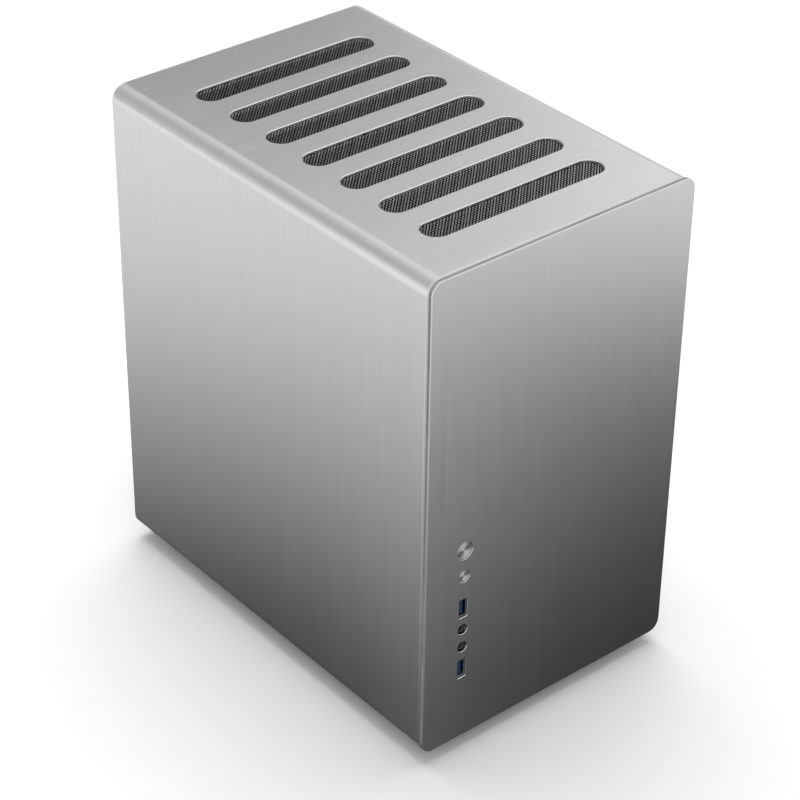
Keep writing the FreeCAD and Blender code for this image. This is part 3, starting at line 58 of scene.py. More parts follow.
PANEL_LOW, PANEL_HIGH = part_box("front_panel")
SLEEVE_LOW, SLEEVE_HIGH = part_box("outer_shell")
MESH_LOW, MESH_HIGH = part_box("top_filter_mesh")
BOARD_LOW, BOARD_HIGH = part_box("motherboard")
FRONT = PANEL_LOW[1]
PANEL_BACK = PANEL_HIGH[1]
HALF = PANEL_HIGH[0]
BOTTOM = PANEL_LOW[2]
TOP = PANEL_HIGH[2]
SHEET = TOP - MESH_HIGH[2]
BEND = 11 * MM
PANEL_CORNER = 9 * MM
FLANGE = 22 * MM
SLOT_COUNT = 7
SLOT_PITCH = 38.5 * MM
SLOT_HALF = 73.5 * MM
SLOT_RADIUS = 10 * MM
RIM = 0.6 * MM
SCREW_HEAD = 5.0  # in mm, as are the two cap radii and the gap
CAP_RADIUS = {"power_button": 6.5, "reset_button": 4.4}
CAP_GAP = 0.25
LIP_END = FRONT + 0.9 * MM
GROOVE_END = LIP_END + 2.4 * MM
GROOVE_DEPTH = 1.5 * MM
MIDDLE = (PANEL_LOW[1] + SLEEVE_HIGH[1]) / 2


def middle_of(node):
    low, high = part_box(node)
    return Vector([(a + b) / 2 for a, b in zip(low, high)])


COLUMN = middle_of("power_button").x


# ---- Materials ----

class Graph:
    """A material's node graph with short ways to add and link nodes."""

    def __init__(self, name):
        self.material = bpy.data.materials.new("fine_" + name)
        self.material.use_nodes = True
        self.nodes = self.material.node_tree.nodes
        self.links = self.material.node_tree.links
        self.shader = self.nodes["Principled BSDF"]

    def add(self, kind, **settings):
        node = self.nodes.new(kind)
        for key, value in settings.items():
            setattr(node, key, value)
        return node

    def link(self, source, node, socket):
        self.links.new(source, node.inputs[socket])

    def coordinates(self, stretch):
        """The frame's own coordinates, scaled per axis, in stretches per metre."""
        place = self.add("ShaderNodeTexCoord").outputs["Object"]
        mapping = self.add("ShaderNodeMapping")
        mapping.inputs["Scale"].default_value = stretch
        self.link(place, mapping, "Vector")
        return mapping.outputs["Vector"]

    def noise(self, stretch, detail=3.0, roughness=0.55):
        texture = self.add("ShaderNodeTexNoise")
        texture.inputs["Scale"].default_value = 1.0
        texture.inputs["Detail"].default_value = detail
        texture.inputs["Roughness"].default_value = roughness
        self.link(self.coordinates(stretch), texture, "Vector")
        return texture.outputs["Fac"]

    def spread(self, source, low, high, start=0.3, end=0.7):
        """Maps a noise value from start..end to low..high."""
        node = self.add("ShaderNodeMapRange")
        for socket, value in (("From Min", start), ("From Max", end), ("To Min", low), ("To Max", high)):
            node.inputs[socket].default_value = value
        self.link(source, node, "Value")
        return node.outputs["Result"]

    def math(self, operation, first, second):
        node = self.add("ShaderNodeMath", operation=operation)
        for index, item in enumerate((first, second)):
            if isinstance(item, (int, float)):
                node.inputs[index].default_value = item
            else:
                self.links.new(item, node.inputs[index])
        return node.outputs[0]

    def blend(self, factor, dark, light):
        ramp = self.add("ShaderNodeValToRGB")
        ramp.color_ramp.elements[0].color = (*dark, 1)
        ramp.color_ramp.elements[1].color = (*light, 1)
        self.link(factor, ramp, "Fac")
        return ramp.outputs["Color"]

    def colour(self, factor, base, spread):
        """Base colour that varies by plus or minus spread."""
        dark = [channel * (1 - spread) for channel in base]
        light = [min(1.0, channel * (1 + spread)) for channel in base]
        self.link(self.blend(factor, dark, light), self.shader, "Base Color")

    def roughness(self, source, low, high, start=0.3, end=0.7):
        self.link(self.spread(source, low, high, start, end), self.shader, "Roughness")

    def bump(self, height, strength, distance):
        node = self.add("ShaderNodeBump")
        node.inputs["Strength"].default_value = strength
        node.inputs["Distance"].default_value = distance
        self.link(height, node, "Height")
        self.link(node.outputs["Normal"], self.shader, "Normal")

    def put(self, **sockets):
        for name, value in sockets.items():
            self.shader.inputs[name.replace("_", " ")].default_value = value
        return self


def brushed(name, base, fine, broad, roughness, anisotropy=0.7):
    """Brushed metal: fine and broad streaks, drawn out along the axis with the small stretch."""
    graph = Graph(name).put(Metallic=1.0, Anisotropic=anisotropy)
    streaks = graph.noise(fine, 4.0, 0.7)
    bands = graph.noise(broad, 2.0)
    mixed = graph.math("ADD", graph.math("MULTIPLY", streaks, 0.65), graph.math("MULTIPLY", bands, 0.35))
    graph.colour(graph.spread(mixed, 0, 1, 0.32, 0.68), base, 0.06)
    graph.roughness(mixed, roughness - 0.04, roughness + 0.06)
    graph.bump(streaks, 0.10, 0.00008)
    tangent = graph.add("ShaderNodeTangent", direction_type="UV_MAP", uv_map="brushing")
    graph.link(tangent.outputs["Tangent"], graph.shader, "Tangent")
    return graph.material


def turned(name, base, roughness):
    """Metal turned on a lathe about the piece's own Y axis."""
    graph = Graph(name).put(Metallic=1.0, Anisotropic=1.0, Anisotropic_Rotation=0.25)
    place = graph.add("ShaderNodeTexCoord").outputs["Object"]
    axes = graph.add("ShaderNodeSeparateXYZ")
    graph.link(place, axes, "Vector")
    across = graph.math("MULTIPLY", axes.outputs["X"], axes.outputs["X"])
    along = graph.math("MULTIPLY", axes.outputs["Z"], axes.outputs["Z"])
    radius = graph.math("SQRT", graph.math("ADD", across, along), 0)
    rings = graph.add("ShaderNodeTexNoise", noise_dimensions="1D")
    rings.inputs["Scale"].default_value = 9000
    graph.link(radius, rings, "W")
    marks = rings.outputs["Fac"]
    graph.colour(marks, base, 0.15)
    graph.roughness(marks, roughness - 0.05, roughness + 0.07)
    graph.bump(marks, 0.15, 0.00003)
    tangent = graph.add("ShaderNodeTangent", direction_type="RADIAL", axis="Y")
    graph.link(tangent.outputs["Tangent"], graph.shader, "Tangent")
    return graph.material


def plain_metal(name, base, roughness, grain=900, spread=0.1, streak=1.0):
    """Unbrushed metal: a fine grain with slight clouding and handling marks."""
    graph = Graph(name).put(Metallic=1.0)
    fine = graph.noise((grain, grain * streak, grain), 3.0)
    clouds = graph.noise((45, 45, 45), 2.0)
    mixed = graph.math("ADD", graph.math("MULTIPLY", fine, 0.5), graph.math("MULTIPLY", clouds, 0.5))
    graph.colour(graph.spread(mixed, 0, 1), base, spread)
    graph.roughness(mixed, roughness - 0.08, roughness + 0.1)
    graph.bump(fine, 0.12, 0.00005)
    return graph.material


def powder_coat(name, base, roughness=0.45, grain=1400):
    """Coated steel with a fine orange-peel texture and slightly rubbed patches."""
    graph = Graph(name).put(Metallic=0.0)
    peel = graph.noise((grain, grain, grain), 2.0)
    patches = graph.noise((30, 30, 30), 3.0)
    graph.colour(graph.spread(patches, 0, 1), base, 0.22)
    graph.roughness(patches, roughness - 0.07, roughness + 0.08)
    graph.bump(peel, 0.35, 0.0001)
    return graph.material


def moulded(name, base, roughness=0.5, grain=2200, bump=0.25):
    """Moulded plastic or rubber with a spark-eroded grain."""
    graph = Graph(name)
    grain_noise = graph.noise((grain, grain, grain), 2.0)
    clouds = graph.noise((60, 60, 60), 2.0)
    graph.colour(graph.spread(clouds, 0, 1), base, 0.15)
    graph.roughness(grain_noise, roughness - 0.06, roughness + 0.08)
    graph.bump(grain_noise, bump, 0.00006)
    return graph.material


def circuit_board(name, base):
    """Solder mask over copper tracks: straight runs with a faint height of their own."""
    graph = Graph(name).put(Coat_Weight=0.5, Coat_Roughness=0.15)
    tracks = []
    for direction, rate in (("Y", 330), ("Z", 270)):
        wave = graph.add("ShaderNodeTexWave", bands_direction=direction)
        wave.inputs["Scale"].default_value = rate
        wave.inputs["Distortion"].default_value = 0.0
        place = graph.add("ShaderNodeTexCoord").outputs["Object"]
        graph.link(place, wave, "Vector")
        where = graph.noise((60, 60, 60), 0.0)
        line = graph.math("GREATER_THAN", wave.outputs["Fac"], 0.62)
        area = graph.math("GREATER_THAN" if direction == "Y" else "LESS_THAN", where, 0.5)
        tracks.append(graph.math("MULTIPLY", line, area))
    copper = graph.math("MAXIMUM", tracks[0], tracks[1])
    light = [channel * 1.9 for channel in base]
    graph.link(graph.blend(copper, base, light), graph.shader, "Base Color")
    graph.roughness(graph.noise((700, 700, 700)), 0.28, 0.42)
    graph.bump(copper, 0.3, 0.00004)
    return graph.material


def braided(name, base):
    """A woven sleeve: two crossing sets of slanted strands."""
    graph = Graph(name)
    strands = []
    for sign in (1, -1):
        wave = graph.add("ShaderNodeTexWave", bands_direction="DIAGONAL")
        wave.inputs["Scale"].default_value = 260
        mapping = graph.add("ShaderNodeMapping")
        mapping.inputs["Scale"].default_value = (1, sign, 1)
        graph.link(graph.add("ShaderNodeTexCoord").outputs["Object"], mapping, "Vector")
        graph.link(mapping.outputs["Vector"], wave, "Vector")
        strands.append(wave.outputs["Fac"])
    weave = graph.math("MAXIMUM", strands[0], strands[1])
    light = [channel * 2.4 for channel in base]
    graph.link(graph.blend(weave, base, light), graph.shader, "Base Color")
    graph.roughness(weave, 0.75, 0.55, 0, 1)
    graph.bump(weave, 0.8, 0.0003)
    return graph.material


def woven(name, dark, light, pitch):
    """Woven wire whose colour has light and dark bands along the diagonals: a painted sheen and painted
    shade for how the weave's crossings catch the light.
    """
    graph = Graph(name).put(Metallic=1.0)
    wave = graph.add("ShaderNodeTexWave", bands_direction="DIAGONAL")
    wave.inputs["Scale"].default_value = 2 * math.pi / (20 * pitch)
    graph.link(graph.coordinates((1, -1, 0)), wave, "Vector")
    # The light bands are a painted sheen and the dark bands painted shade, for the lit and shaded crossings
    # of the weave.
    strands = graph.spread(wave.outputs["Fac"], 0, 1, 0.35, 0.65)
    graph.link(graph.blend(strands, dark, light), graph.shader, "Base Color")
    graph.roughness(graph.noise((1500, 1500, 1500)), 0.24, 0.36)
    graph.bump(wave.outputs["Fac"], 0.2, 0.0001)
    return graph.material


def grey(level, warmth=0.0):
    return (level * (1 + warmth), level, level * (1 - warmth))


def by_slot(*materials):
    """The materials under their slots' names."""
    return {material.name.removeprefix("fine_"): material for material in materials}


FINISHES = by_slot(
    brushed("shell_aluminium", grey(0.84), (30, 5200, 30), (6, 700, 6), 0.34),
    brushed("front_aluminium", grey(0.82), (4200, 30, 30), (500, 6, 6), 0.36),
    turned("turned_aluminium", grey(0.8), 0.42),
    plain_metal("bright_aluminium", grey(0.86), 0.24),
    plain_metal("rear_aluminium", grey(0.7), 0.5, 2600),
    plain_metal("fin_aluminium", grey(0.85), 0.3, 700, 0.08),
    # mesh_black's light and dark diagonal bands are a painted sheen and painted shade, not two wire
    # colours.
    woven("mesh_black", grey(0.015), grey(0.5), 1.3 * MM),
    powder_coat("chassis_black", grey(0.03)),
    powder_coat("supply_black", grey(0.04), 0.4, 1800),
    plain_metal("cover_steel", grey(0.68), 0.33, 500, 0.12, 0.1),
    plain_metal("socket_steel", grey(0.8), 0.22, 600, 0.08),
    powder_coat("screw_black", grey(0.05), 0.35, 3000),
    plain_metal("lid_nickel", grey(0.7, 0.02), 0.3),
    plain_metal("drive_casting", grey(0.6), 0.42, 1600),
    plain_metal("drive_dark", grey(0.2), 0.4, 1800),
    plain_metal("memory_spreader", grey(0.14), 0.36, 1400, 0.12, 0.1),
    plain_metal("brass_part", (0.85, 0.63, 0.28), 0.28),
    plain_metal("copper", (0.9, 0.48, 0.32), 0.22, 800, 0.12),
    moulded("plastic_black", grey(0.03)),
    moulded("plastic_pale", grey(0.55, 0.05)),
    moulded("plug_white", grey(0.06), 0.45),
    moulded("rotor_grey", grey(0.08), 0.35, 1500, 0.1),
    moulded("socket_blue", (0.004, 0.035, 0.12), 0.35, 3000, 0.1),
    moulded("switch_gloss", grey(0.03), 0.22, 1200, 0.05),
    circuit_board("circuit_board", (0.012, 0.022, 0.02)),
    moulded("foot_rubber", grey(0.03), 0.75, 1500, 0.5),
    braided("cable_sleeve", grey(0.025)),
    moulded("cable_red", (0.36, 0.015, 0.015), 0.5, 900, 0.3),
)
GOLD = plain_metal("contact_gold", (0.95, 0.68, 0.3), 0.2)
CAN_ALUMINIUM = plain_metal("capacitor_can", grey(0.75), 0.25, 500)
FERRITE = moulded("ferrite", grey(0.09), 0.6, 1200, 0.5)
# A darker grey for the groove's floor: painted shade for the groove, which the real light shades further.
GROOVE_SHADE_GREY = moulded("groove_shade_grey", grey(0.3), 0.5, 1800)
# A near-black sheet under the filter weave: painted shade for the shaded inside seen through the top slots.
PAINTED_SHADE_SHEET = moulded("painted_shade_sheet", grey(0.008), 0.9, 2600, 0.6)
CHIP_BLACK = moulded("chip_black", grey(0.02), 0.4, 2600, 0.15)


# ---- Mesh helpers ----

def place_object(name, data):
    """An object with this data, linked into the scene."""
    item = bpy.data.objects.new(name, data)
    bpy.context.scene.collection.objects.link(item)
    return item


def finish_mesh(name, mesh, material, body, replaced=(), angle=35):
    """Makes a piece from a mesh: shaded by angle, painted and riding on its CAD body."""
    mesh.materials.clear()
    mesh.materials.append(material)
    for polygon in mesh.polygons:
        polygon.use_smooth = True
    mesh.set_sharp_from_angle(angle=math.radians(angle))
    piece = place_object(name, mesh)
    weighted = piece.modifiers.new("flat_faces", "WEIGHTED_NORMAL")
    weighted.keep_sharp = True
    weighted.weight = 100
    if replaced:
        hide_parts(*replaced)
    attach(piece, body)
    return piece


def mesh_from(name, points, faces):
    mesh = bpy.data.meshes.new(name)
    mesh.from_pydata([tuple(point) for point in points], [], faces)
    mesh.validate()
    edit = bmesh.new()
    edit.from_mesh(mesh)
    bmesh.ops.recalc_face_normals(edit, faces=edit.faces)
    edit.to_mesh(mesh)
    edit.free()
    return mesh


def loops_to_faces(rings, count, capped=True):
    """Quads between rings of count points each, with end caps if capped."""
    faces = []
    for ring in range(rings - 1):
        for step in range(count):
            following = (step + 1) % count
            low = ring * count
            high = low + count
            faces.append((low + step, low + following, high + following, high + step))
    if capped:
        faces.append(tuple(range(count))[::-1])
        last = (rings - 1) * count
        faces.append(tuple(range(last, last + count)))
    return faces


def ring_mesh(name, rings):
    """A mesh through rings of points, the last ring joined to the first."""
    count = len(rings[0])
    faces = loops_to_faces(len(rings), count, capped=False)
    last = (len(rings) - 1) * count
    faces += [(last + step, last + (step + 1) % count, (step + 1) % count, step) for step in range(count)]
    return mesh_from(name, [point for ring in rings for point in ring], faces)


def prism(name, outlines):
    """A closed mesh through outlines that all have the same number of points."""
    points = [point for outline in outlines for point in outline]
    return mesh_from(name, points, loops_to_faces(len(outlines), len(outlines[0])))


def rounded_outline(half_a, half_b, radius, steps=10):
    """Points round a rectangle with rounded corners, about the origin."""
    points = []
    for corner in range(4):
        a = half_a - radius if corner in (0, 3) else radius - half_a
        b = half_b - radius if corner in (0, 1) else radius - half_b
        for step in range(steps + 1):
            turn = math.radians(90 * corner + 90 * step / steps)
            points.append((a + radius * math.cos(turn), b + radius * math.sin(turn)))
    return points


def in_mm(profile):
    return [(radius * MM, along * MM) for radius, along in profile]


def circle_outline(radius, steps=48):
    return [(radius * math.cos(2 * math.pi * step / steps), radius * math.sin(2 * math.pi * step / steps))
            for step in range(steps)]


def block(name, low, high, edge, material, body="chassis", replaced=()):
    """A block between two corners with rounded-over edges."""
    low, high = Vector(low), Vector(high)
    edit = bmesh.new()
    bmesh.ops.create_cube(edit, size=1.0)
    size = high - low
    bmesh.ops.scale(edit, vec=size, verts=edit.verts)
    bmesh.ops.translate(edit, vec=(low + high) / 2, verts=edit.verts)
    bmesh.ops.bevel(edit, geom=edit.edges[:], offset=min(edge, min(size) * 0.4), segments=2,
                    affect="EDGES", profile=0.7)
    mesh = bpy.data.meshes.new(name)
    edit.to_mesh(mesh)
    edit.free()
    return finish_mesh(name, mesh, material, body, replaced, 50)


AXES = {
    "x": lambda centre, a, b, along: centre + Vector((along, a, b)),
    "y": lambda centre, a, b, along: centre + Vector((a, along, b)),
    "z": lambda centre, a, b, along: centre + Vector((a, b, along)),
}


def lathe_points(profile, centre, axis, steps, ripple=None):
    rings = []
    for number, (radius, along) in enumerate(profile):
        ring = []
        for step in range(steps):
            turn = 2 * math.pi * step / steps
            r = radius + (ripple(number, step) if ripple else 0)
            ring.append(AXES[axis](centre, r * math.cos(turn), r * math.sin(turn), along))
        rings.append(ring)
    return rings


def lathe(name, profile, centre, axis, material, body, replaced=(), steps=48, own_origin=False):
    """A turned piece; profile is (radius, place along the axis) from one end to the other."""
    start = Vector() if own_origin else Vector(centre)
    mesh = prism(name, lathe_points(profile, start, axis, steps))
    piece = finish_mesh(name, mesh, material, body, (), 35)
    if own_origin:
        piece.location = centre
        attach(piece, body)
    if replaced:
        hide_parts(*replaced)
    return piece


def join(name, meshes):
    """One mesh from several."""
    edit = bmesh.new()
    for mesh in meshes:
        edit.from_mesh(mesh)
    result = bpy.data.meshes.new(name)
    edit.to_mesh(result)
    edit.free()
    return result


def subtract(mesh, cutter):
    """The mesh less the cutter."""
    base = place_object("cut_base", mesh)
    tool = place_object("cut_tool", cutter)
    modifier = base.modifiers.new("cut", "BOOLEAN")
    modifier.operation = "DIFFERENCE"
    modifier.solver = "EXACT"
    modifier.object = tool
    bpy.context.view_layer.update()
    evaluated = base.evaluated_get(bpy.context.evaluated_depsgraph_get())
    result = bpy.data.meshes.new_from_object(evaluated)
    for item in (base, tool):
        bpy.data.objects.remove(item)
    return result


def lay_brushing(mesh, across):
    """A UV map whose first direction runs across the brush lines, for the sheen."""
    layer = mesh.uv_layers.new(name="brushing")
    for polygon in mesh.polygons:
        normal = polygon.normal
        for index in polygon.loop_indices:
            point = mesh.vertices[mesh.loops[index].vertex_index].co
            if across == "y":
                along = point.x if abs(normal.z) > abs(normal.x) else point.z
                layer.data[index].uv = (point.y, along)
            elif abs(normal.x) > 0.8:
                layer.data[index].uv = (point.y, point.z)
            else:
                along = point.z if abs(normal.y) >= abs(normal.z) else point.y
                layer.data[index].uv = (point.x, along)


# ---- Sleeve and front plate ----

def sleeve_section(inset, steps=14):
    """The bent sheet's centre-open section, from one bottom flange round to the other."""
    half = HALF - inset
    low = BOTTOM + inset
    high = TOP - inset
    radius = BEND - inset
    points = [(FLANGE - HALF, low)]
    for x, z, start in ((-half + radius, low + radius, 270), (-half + radius, high - radius, 180),
                        (half - radius, high - radius, 90), (half - radius, low + radius, 0)):
        for step in range(steps + 1):
            turn = math.radians(start - 90 * step / steps)
            points.append((x + radius * math.cos(turn), z + radius * math.sin(turn)))
    points.append((HALF - FLANGE, low))
    return points


def make_sleeve():
    """The bent sheet with softened ends and a row of rounded slots in its top."""
    front = SLEEVE_LOW[1]
    rear = SLEEVE_HIGH[1]
    soft = 0.7 * MM
    outlines = []
    for y, inset in ((front, soft), (front + soft * 0.45, soft * 0.3), (front + soft, 0), (rear - soft, 0),
                     (rear, soft)):
        outer = sleeve_section(inset)
        inner = sleeve_section(SHEET)[::-1]
        outlines.append([(x, y, z) for x, z in outer + inner])
    mesh = prism("sleeve", outlines)
    cutters = []
    first = MIDDLE - SLOT_PITCH * (SLOT_COUNT - 1) / 2
    straight = SLOT_HALF - SLOT_RADIUS
    end_steps = 24
    for number in range(SLOT_COUNT):
        y = first + SLOT_PITCH * number
        levels = []
        for z, extra in ((TOP + RIM, 2 * RIM), (TOP - RIM, 0), (TOP - SHEET - 1 * MM, 0)):
            ring = []
            for side, start in ((1, -90), (-1, 90)):
                for step in range(end_steps + 1):
                    turn = math.radians(start + 180 * step / end_steps)
                    reach = SLOT_RADIUS + extra
                    ring.append((side * straight + reach * math.cos(turn), y + reach * math.sin(turn), z))
            levels.append(ring)
        cutters.append(prism("slot", levels))
    mesh = subtract(mesh, join("slots", cutters))
    lay_brushing(mesh, "y")
    finish_mesh("outer_shell_fine", mesh, FINISHES["shell_aluminium"], "shell", ["outer_shell"], 30)


def make_sleeve_ears():
    """The folded tabs at the sleeve's rear edge that the thumbscrews go through, and the top lip."""
    front = SLEEVE_HIGH[1] - SHEET
    rear = SLEEVE_HIGH[1] - 0.01 * MM
    screws_low, screws_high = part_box("shell_thumbscrews")
    inner = HALF - SHEET
    head = SCREW_HEAD * MM
    ear = 2 * (inner - screws_high[0] + head)
    half_height = 6.5 * MM
    finish = FINISHES["shell_aluminium"]
    for side, name in ((-1, "left"), (1, "right")):
        left, right = sorted((side * (inner - ear), side * (inner + 0.5 * MM)))
        for number, level in enumerate((screws_low[2] + head, screws_high[2] - head)):
            block("shell_ear_%s_%d" % (name, number), (left, front, level - half_height),
                  (right, rear, level + half_height), 0.4 * MM, finish, "shell")
    lip = inner - 24 * MM
    block("shell_lip", (-lip, front, TOP - 10.6 * MM), (lip, rear, TOP - 0.8 * MM), 0.4 * MM,
          finish, "shell")


def hole_cutter(name, outline_at, centre_z, flare):
    """A cutter through the front plate whose outline widens by flare at the face."""
    levels = []
    for y, extra in ((FRONT - flare, 2 * flare), (FRONT + flare, 0), (PANEL_BACK + 1 * MM, 0)):
        levels.append([(COLUMN + a, y, centre_z + b) for a, b in outline_at(extra)])
    return prism(name, levels)


def plate_rings(levels):
    """The front plate's rounded outline at each (place, inset)."""
    middle = (TOP + BOTTOM) / 2
    half_height = (TOP - BOTTOM) / 2
    rings = []
    for y, inset in levels:
        ring = rounded_outline(HALF - inset, half_height - inset, PANEL_CORNER - inset, 14)
        rings.append([(x, y, middle + z) for x, z in ring])
    return rings


def make_front_plate():
    """A plate with soft edges, a shadow groove round its rim and holes for the controls."""
    bevel = 0.4 * MM
    soft = 0.15 * MM
    back_bevel = 0.2 * MM
    seam_end = PANEL_BACK + (SLEEVE_LOW[1] - PANEL_BACK) * 0.85
    mesh = prism("front_plate", plate_rings((
        (FRONT, bevel), (FRONT + bevel, 0), (LIP_END - soft, 0), (LIP_END, soft), (LIP_END, GROOVE_DEPTH),
        (GROOVE_END, GROOVE_DEPTH), (GROOVE_END, soft), (GROOVE_END + soft, 0),
        (PANEL_BACK - back_bevel, 0), (PANEL_BACK, back_bevel), (PANEL_BACK, GROOVE_DEPTH),
        (seam_end, GROOVE_DEPTH))))
    cutters = []
    holes = [(node, radius + CAP_GAP, 0.2 * MM) for node, radius in CAP_RADIUS.items()]
    holes += [(node, 4, 0.25 * MM) for node in ("headphone_jack", "microphone_jack")]
    for node, radius, flare in holes:
        cutters.append(hole_cutter(node + "_hole", lambda extra, r=radius: circle_outline(r * MM + extra),
                                   middle_of(node).z, flare))
    for node in ("usb_shell_upper", "usb_shell_lower"):
        cutters.append(hole_cutter(node + "_hole", lambda extra: rounded_outline(
            3.5 * MM + extra, 7.5 * MM + extra, 0.7 * MM + extra, 4), middle_of(node).z, 0.3 * MM))
    mesh = subtract(mesh, join("front_holes", cutters))
    lay_brushing(mesh, "x")
    finish_mesh("front_panel_fine", mesh, FINISHES["front_aluminium"], "chassis", ["front_panel"], 30)


def make_groove_shade_strip():
    """A grey strip along the bottom of the front plate's groove, darker than the plate: painted shade for
    the groove, which the real light shades further.
    """
    shallow = GROOVE_DEPTH - 0.4 * MM
    rings = plate_rings(((LIP_END, GROOVE_DEPTH), (LIP_END, shallow), (GROOVE_END, shallow),
                         (GROOVE_END, GROOVE_DEPTH)))
    faces = loops_to_faces(len(rings), len(rings[0]), capped=False)
    mesh = mesh_from("groove_shade_strip", [point for ring in rings for point in ring], faces)
    finish_mesh("groove_shade_strip", mesh, GROOVE_SHADE_GREY, "chassis", (), 30)


def make_mesh_weave():
    """The woven filter under the slots, wires that pass over and under each other, and a near-black sheet
    under them that is painted shade for the dark inside seen through the slots.
    """
    pitch = 2.1 * MM
    wire = 0.5 * MM
    height = wire * 0.4
    centre_z = (MESH_LOW[2] + MESH_HIGH[2]) / 2
    rise = (MESH_HIGH[2] - MESH_LOW[2]) / 2 - height * 0.75
    counts = [int((high - low) / pitch) for low, high in zip(MESH_LOW[:2], MESH_HIGH[:2])]
    points = []
    faces = []
    for axis in (0, 1):
        other = 1 - axis
        for line in range(1, counts[other]):
            across = MESH_LOW[other] + pitch * line
            start = len(points)
            for step in range(counts[axis] + 1):
                up = rise if (line + step + axis) % 2 else -rise
                for corner in range(4):
                    angle = math.pi / 4 + math.pi / 2 * corner
                    point = [0, 0, centre_z + up + height * math.sin(angle)]
                    point[axis] = MESH_LOW[axis] + pitch * step
                    point[other] = across + wire * math.cos(angle)
                    points.append(point)
            faces += [tuple(start + index for index in face)
                      for face in loops_to_faces(counts[axis] + 1, 4)]
    mesh = bpy.data.meshes.new("weave")
    mesh.from_pydata(points, [], faces)
    # A near-black sheet under the weave, painted shade for the inside seen through the slots.
    shade_sheet_high = (MESH_HIGH[0], MESH_HIGH[1], MESH_LOW[2] + 0.1 * MM)
    block("painted_shade_sheet", MESH_LOW, shade_sheet_high, 0.05 * MM, PAINTED_SHADE_SHEET, "shell")
    piece = finish_mesh("filter_weave", mesh, FINISHES["mesh_black"], "shell", ["top_filter_mesh"], 30)
    piece.modifiers.clear()


# ---- Front controls ----

def make_button(node):
    """A dished cap with a collar behind the plate and a stem to the switch."""
    radius = CAP_RADIUS[node]
    low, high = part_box(node)
    centre = Vector((COLUMN, low[1], middle_of(node).z))
    depth = (high[1] - low[1]) / MM
    collar = radius + 1.4
    stem = 1.5
    profile = [(0.05, 0.5), (radius * 0.5, 0.42), (radius - 0.4, 0.3), (radius - 0.12, 0.36),
               (radius, 0.55), (radius, 4), (collar, 4), (collar, 5), (stem, 5), (stem, depth)]
    lathe(node + "_fine", in_mm(profile), centre, "y", FINISHES["turned_aluminium"], node + "_body",
          [node], 72, own_origin=True)


def tube_of(name, half_x, half_z, mouth, length, material, replaced):
    """A folded sheet tube with rounded corners, open at both ends."""
    corner = 0.8 * MM
    wall = 0.4 * MM
    soft = 0.1 * MM
    start = 0.12 * MM
    rings = []
    for inset, y in ((soft, 0), (0, start), (0, length), (wall, length), (wall, start), (wall - soft, 0)):
        ring = rounded_outline(half_x - inset, half_z - inset, max(corner - inset, 0.15 * MM), 5)
        rings.append([(mouth.x + a, mouth.y + y, mouth.z + b) for a, b in ring])
    finish_mesh(name, ring_mesh(name, rings), material, "chassis", replaced, 40)


def make_usb(which):
    """A steel shell with the blue tongue, its four contacts and the moulding behind."""
    shell = "usb_shell_" + which
    insert = "usb_insert_" + which
    low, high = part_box(shell)
    middle = middle_of(shell)
    front = low[1]
    half_x = (high[0] - low[0]) / 2
    half_z = (high[2] - low[2]) / 2
    mouth = Vector((middle.x, front, middle.z))
    tube_of(shell + "_fine", half_x, half_z, mouth, high[1] - front, FINISHES["socket_steel"], [shell])
    inner_x = half_x - 0.45 * MM
    inner_z = half_z - 0.45 * MM
    tongue_left = middle.x - 0.7 * MM
    tongue_half = inner_z - 0.8 * MM
    block(insert + "_tongue", (tongue_left, front + 1.5 * MM, middle.z - tongue_half),
          (middle.x + 1.2 * MM, front + 11.2 * MM, middle.z + tongue_half), 0.25 * MM,
          FINISHES["socket_blue"], replaced=[insert])
    block(insert + "_back", (middle.x - inner_x, front + 11 * MM, middle.z - inner_z),
          (middle.x + inner_x, high[1] - 0.4 * MM, middle.z + inner_z), 0.2 * MM, FINISHES["plastic_black"])
    for number in range(4):
        z = middle.z + (number - 1.5) * 2.5 * MM
        block("%s_contact_%d" % (insert, number), (tongue_left - 0.1 * MM, front + 2.2 * MM, z - 0.5 * MM),
              (tongue_left + 0.05 * MM, front + 10 * MM, z + 0.5 * MM), 0.05 * MM, GOLD)


def make_jack(node):
    """A round nose with a dished face and an open bore, and the square case behind the plate."""
    low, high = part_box(node)
    centre = Vector((COLUMN, low[1], middle_of(node).z))
    bore = 1.8
    nose = 3
    barrel = bore + 0.6
    profile = [(bore, 15), (bore, 1.8), (bore + 0.2, 1.4), (nose - 0.2, 0.4), (nose, 0.6), (nose, 8),
               (barrel, 8), (barrel, 15)]
    mesh = ring_mesh(node, lathe_points(in_mm(profile), centre, "y", 48))
    finish_mesh(node + "_nose", mesh, FINISHES["plastic_black"], "chassis", [node], 35)
    half = 3.5 * MM
    case = block(node + "_case", (low[0], low[1] + 7.3 * MM, centre.z - half),
                 (high[0], high[1], centre.z + half), 0.3 * MM, FINISHES["plastic_black"])
    cutter = prism("jack_cut", lathe_points(in_mm([(bore, 5), (bore, 15)]), centre, "y", 48))
    case.data = subtract(case.data, cutter)


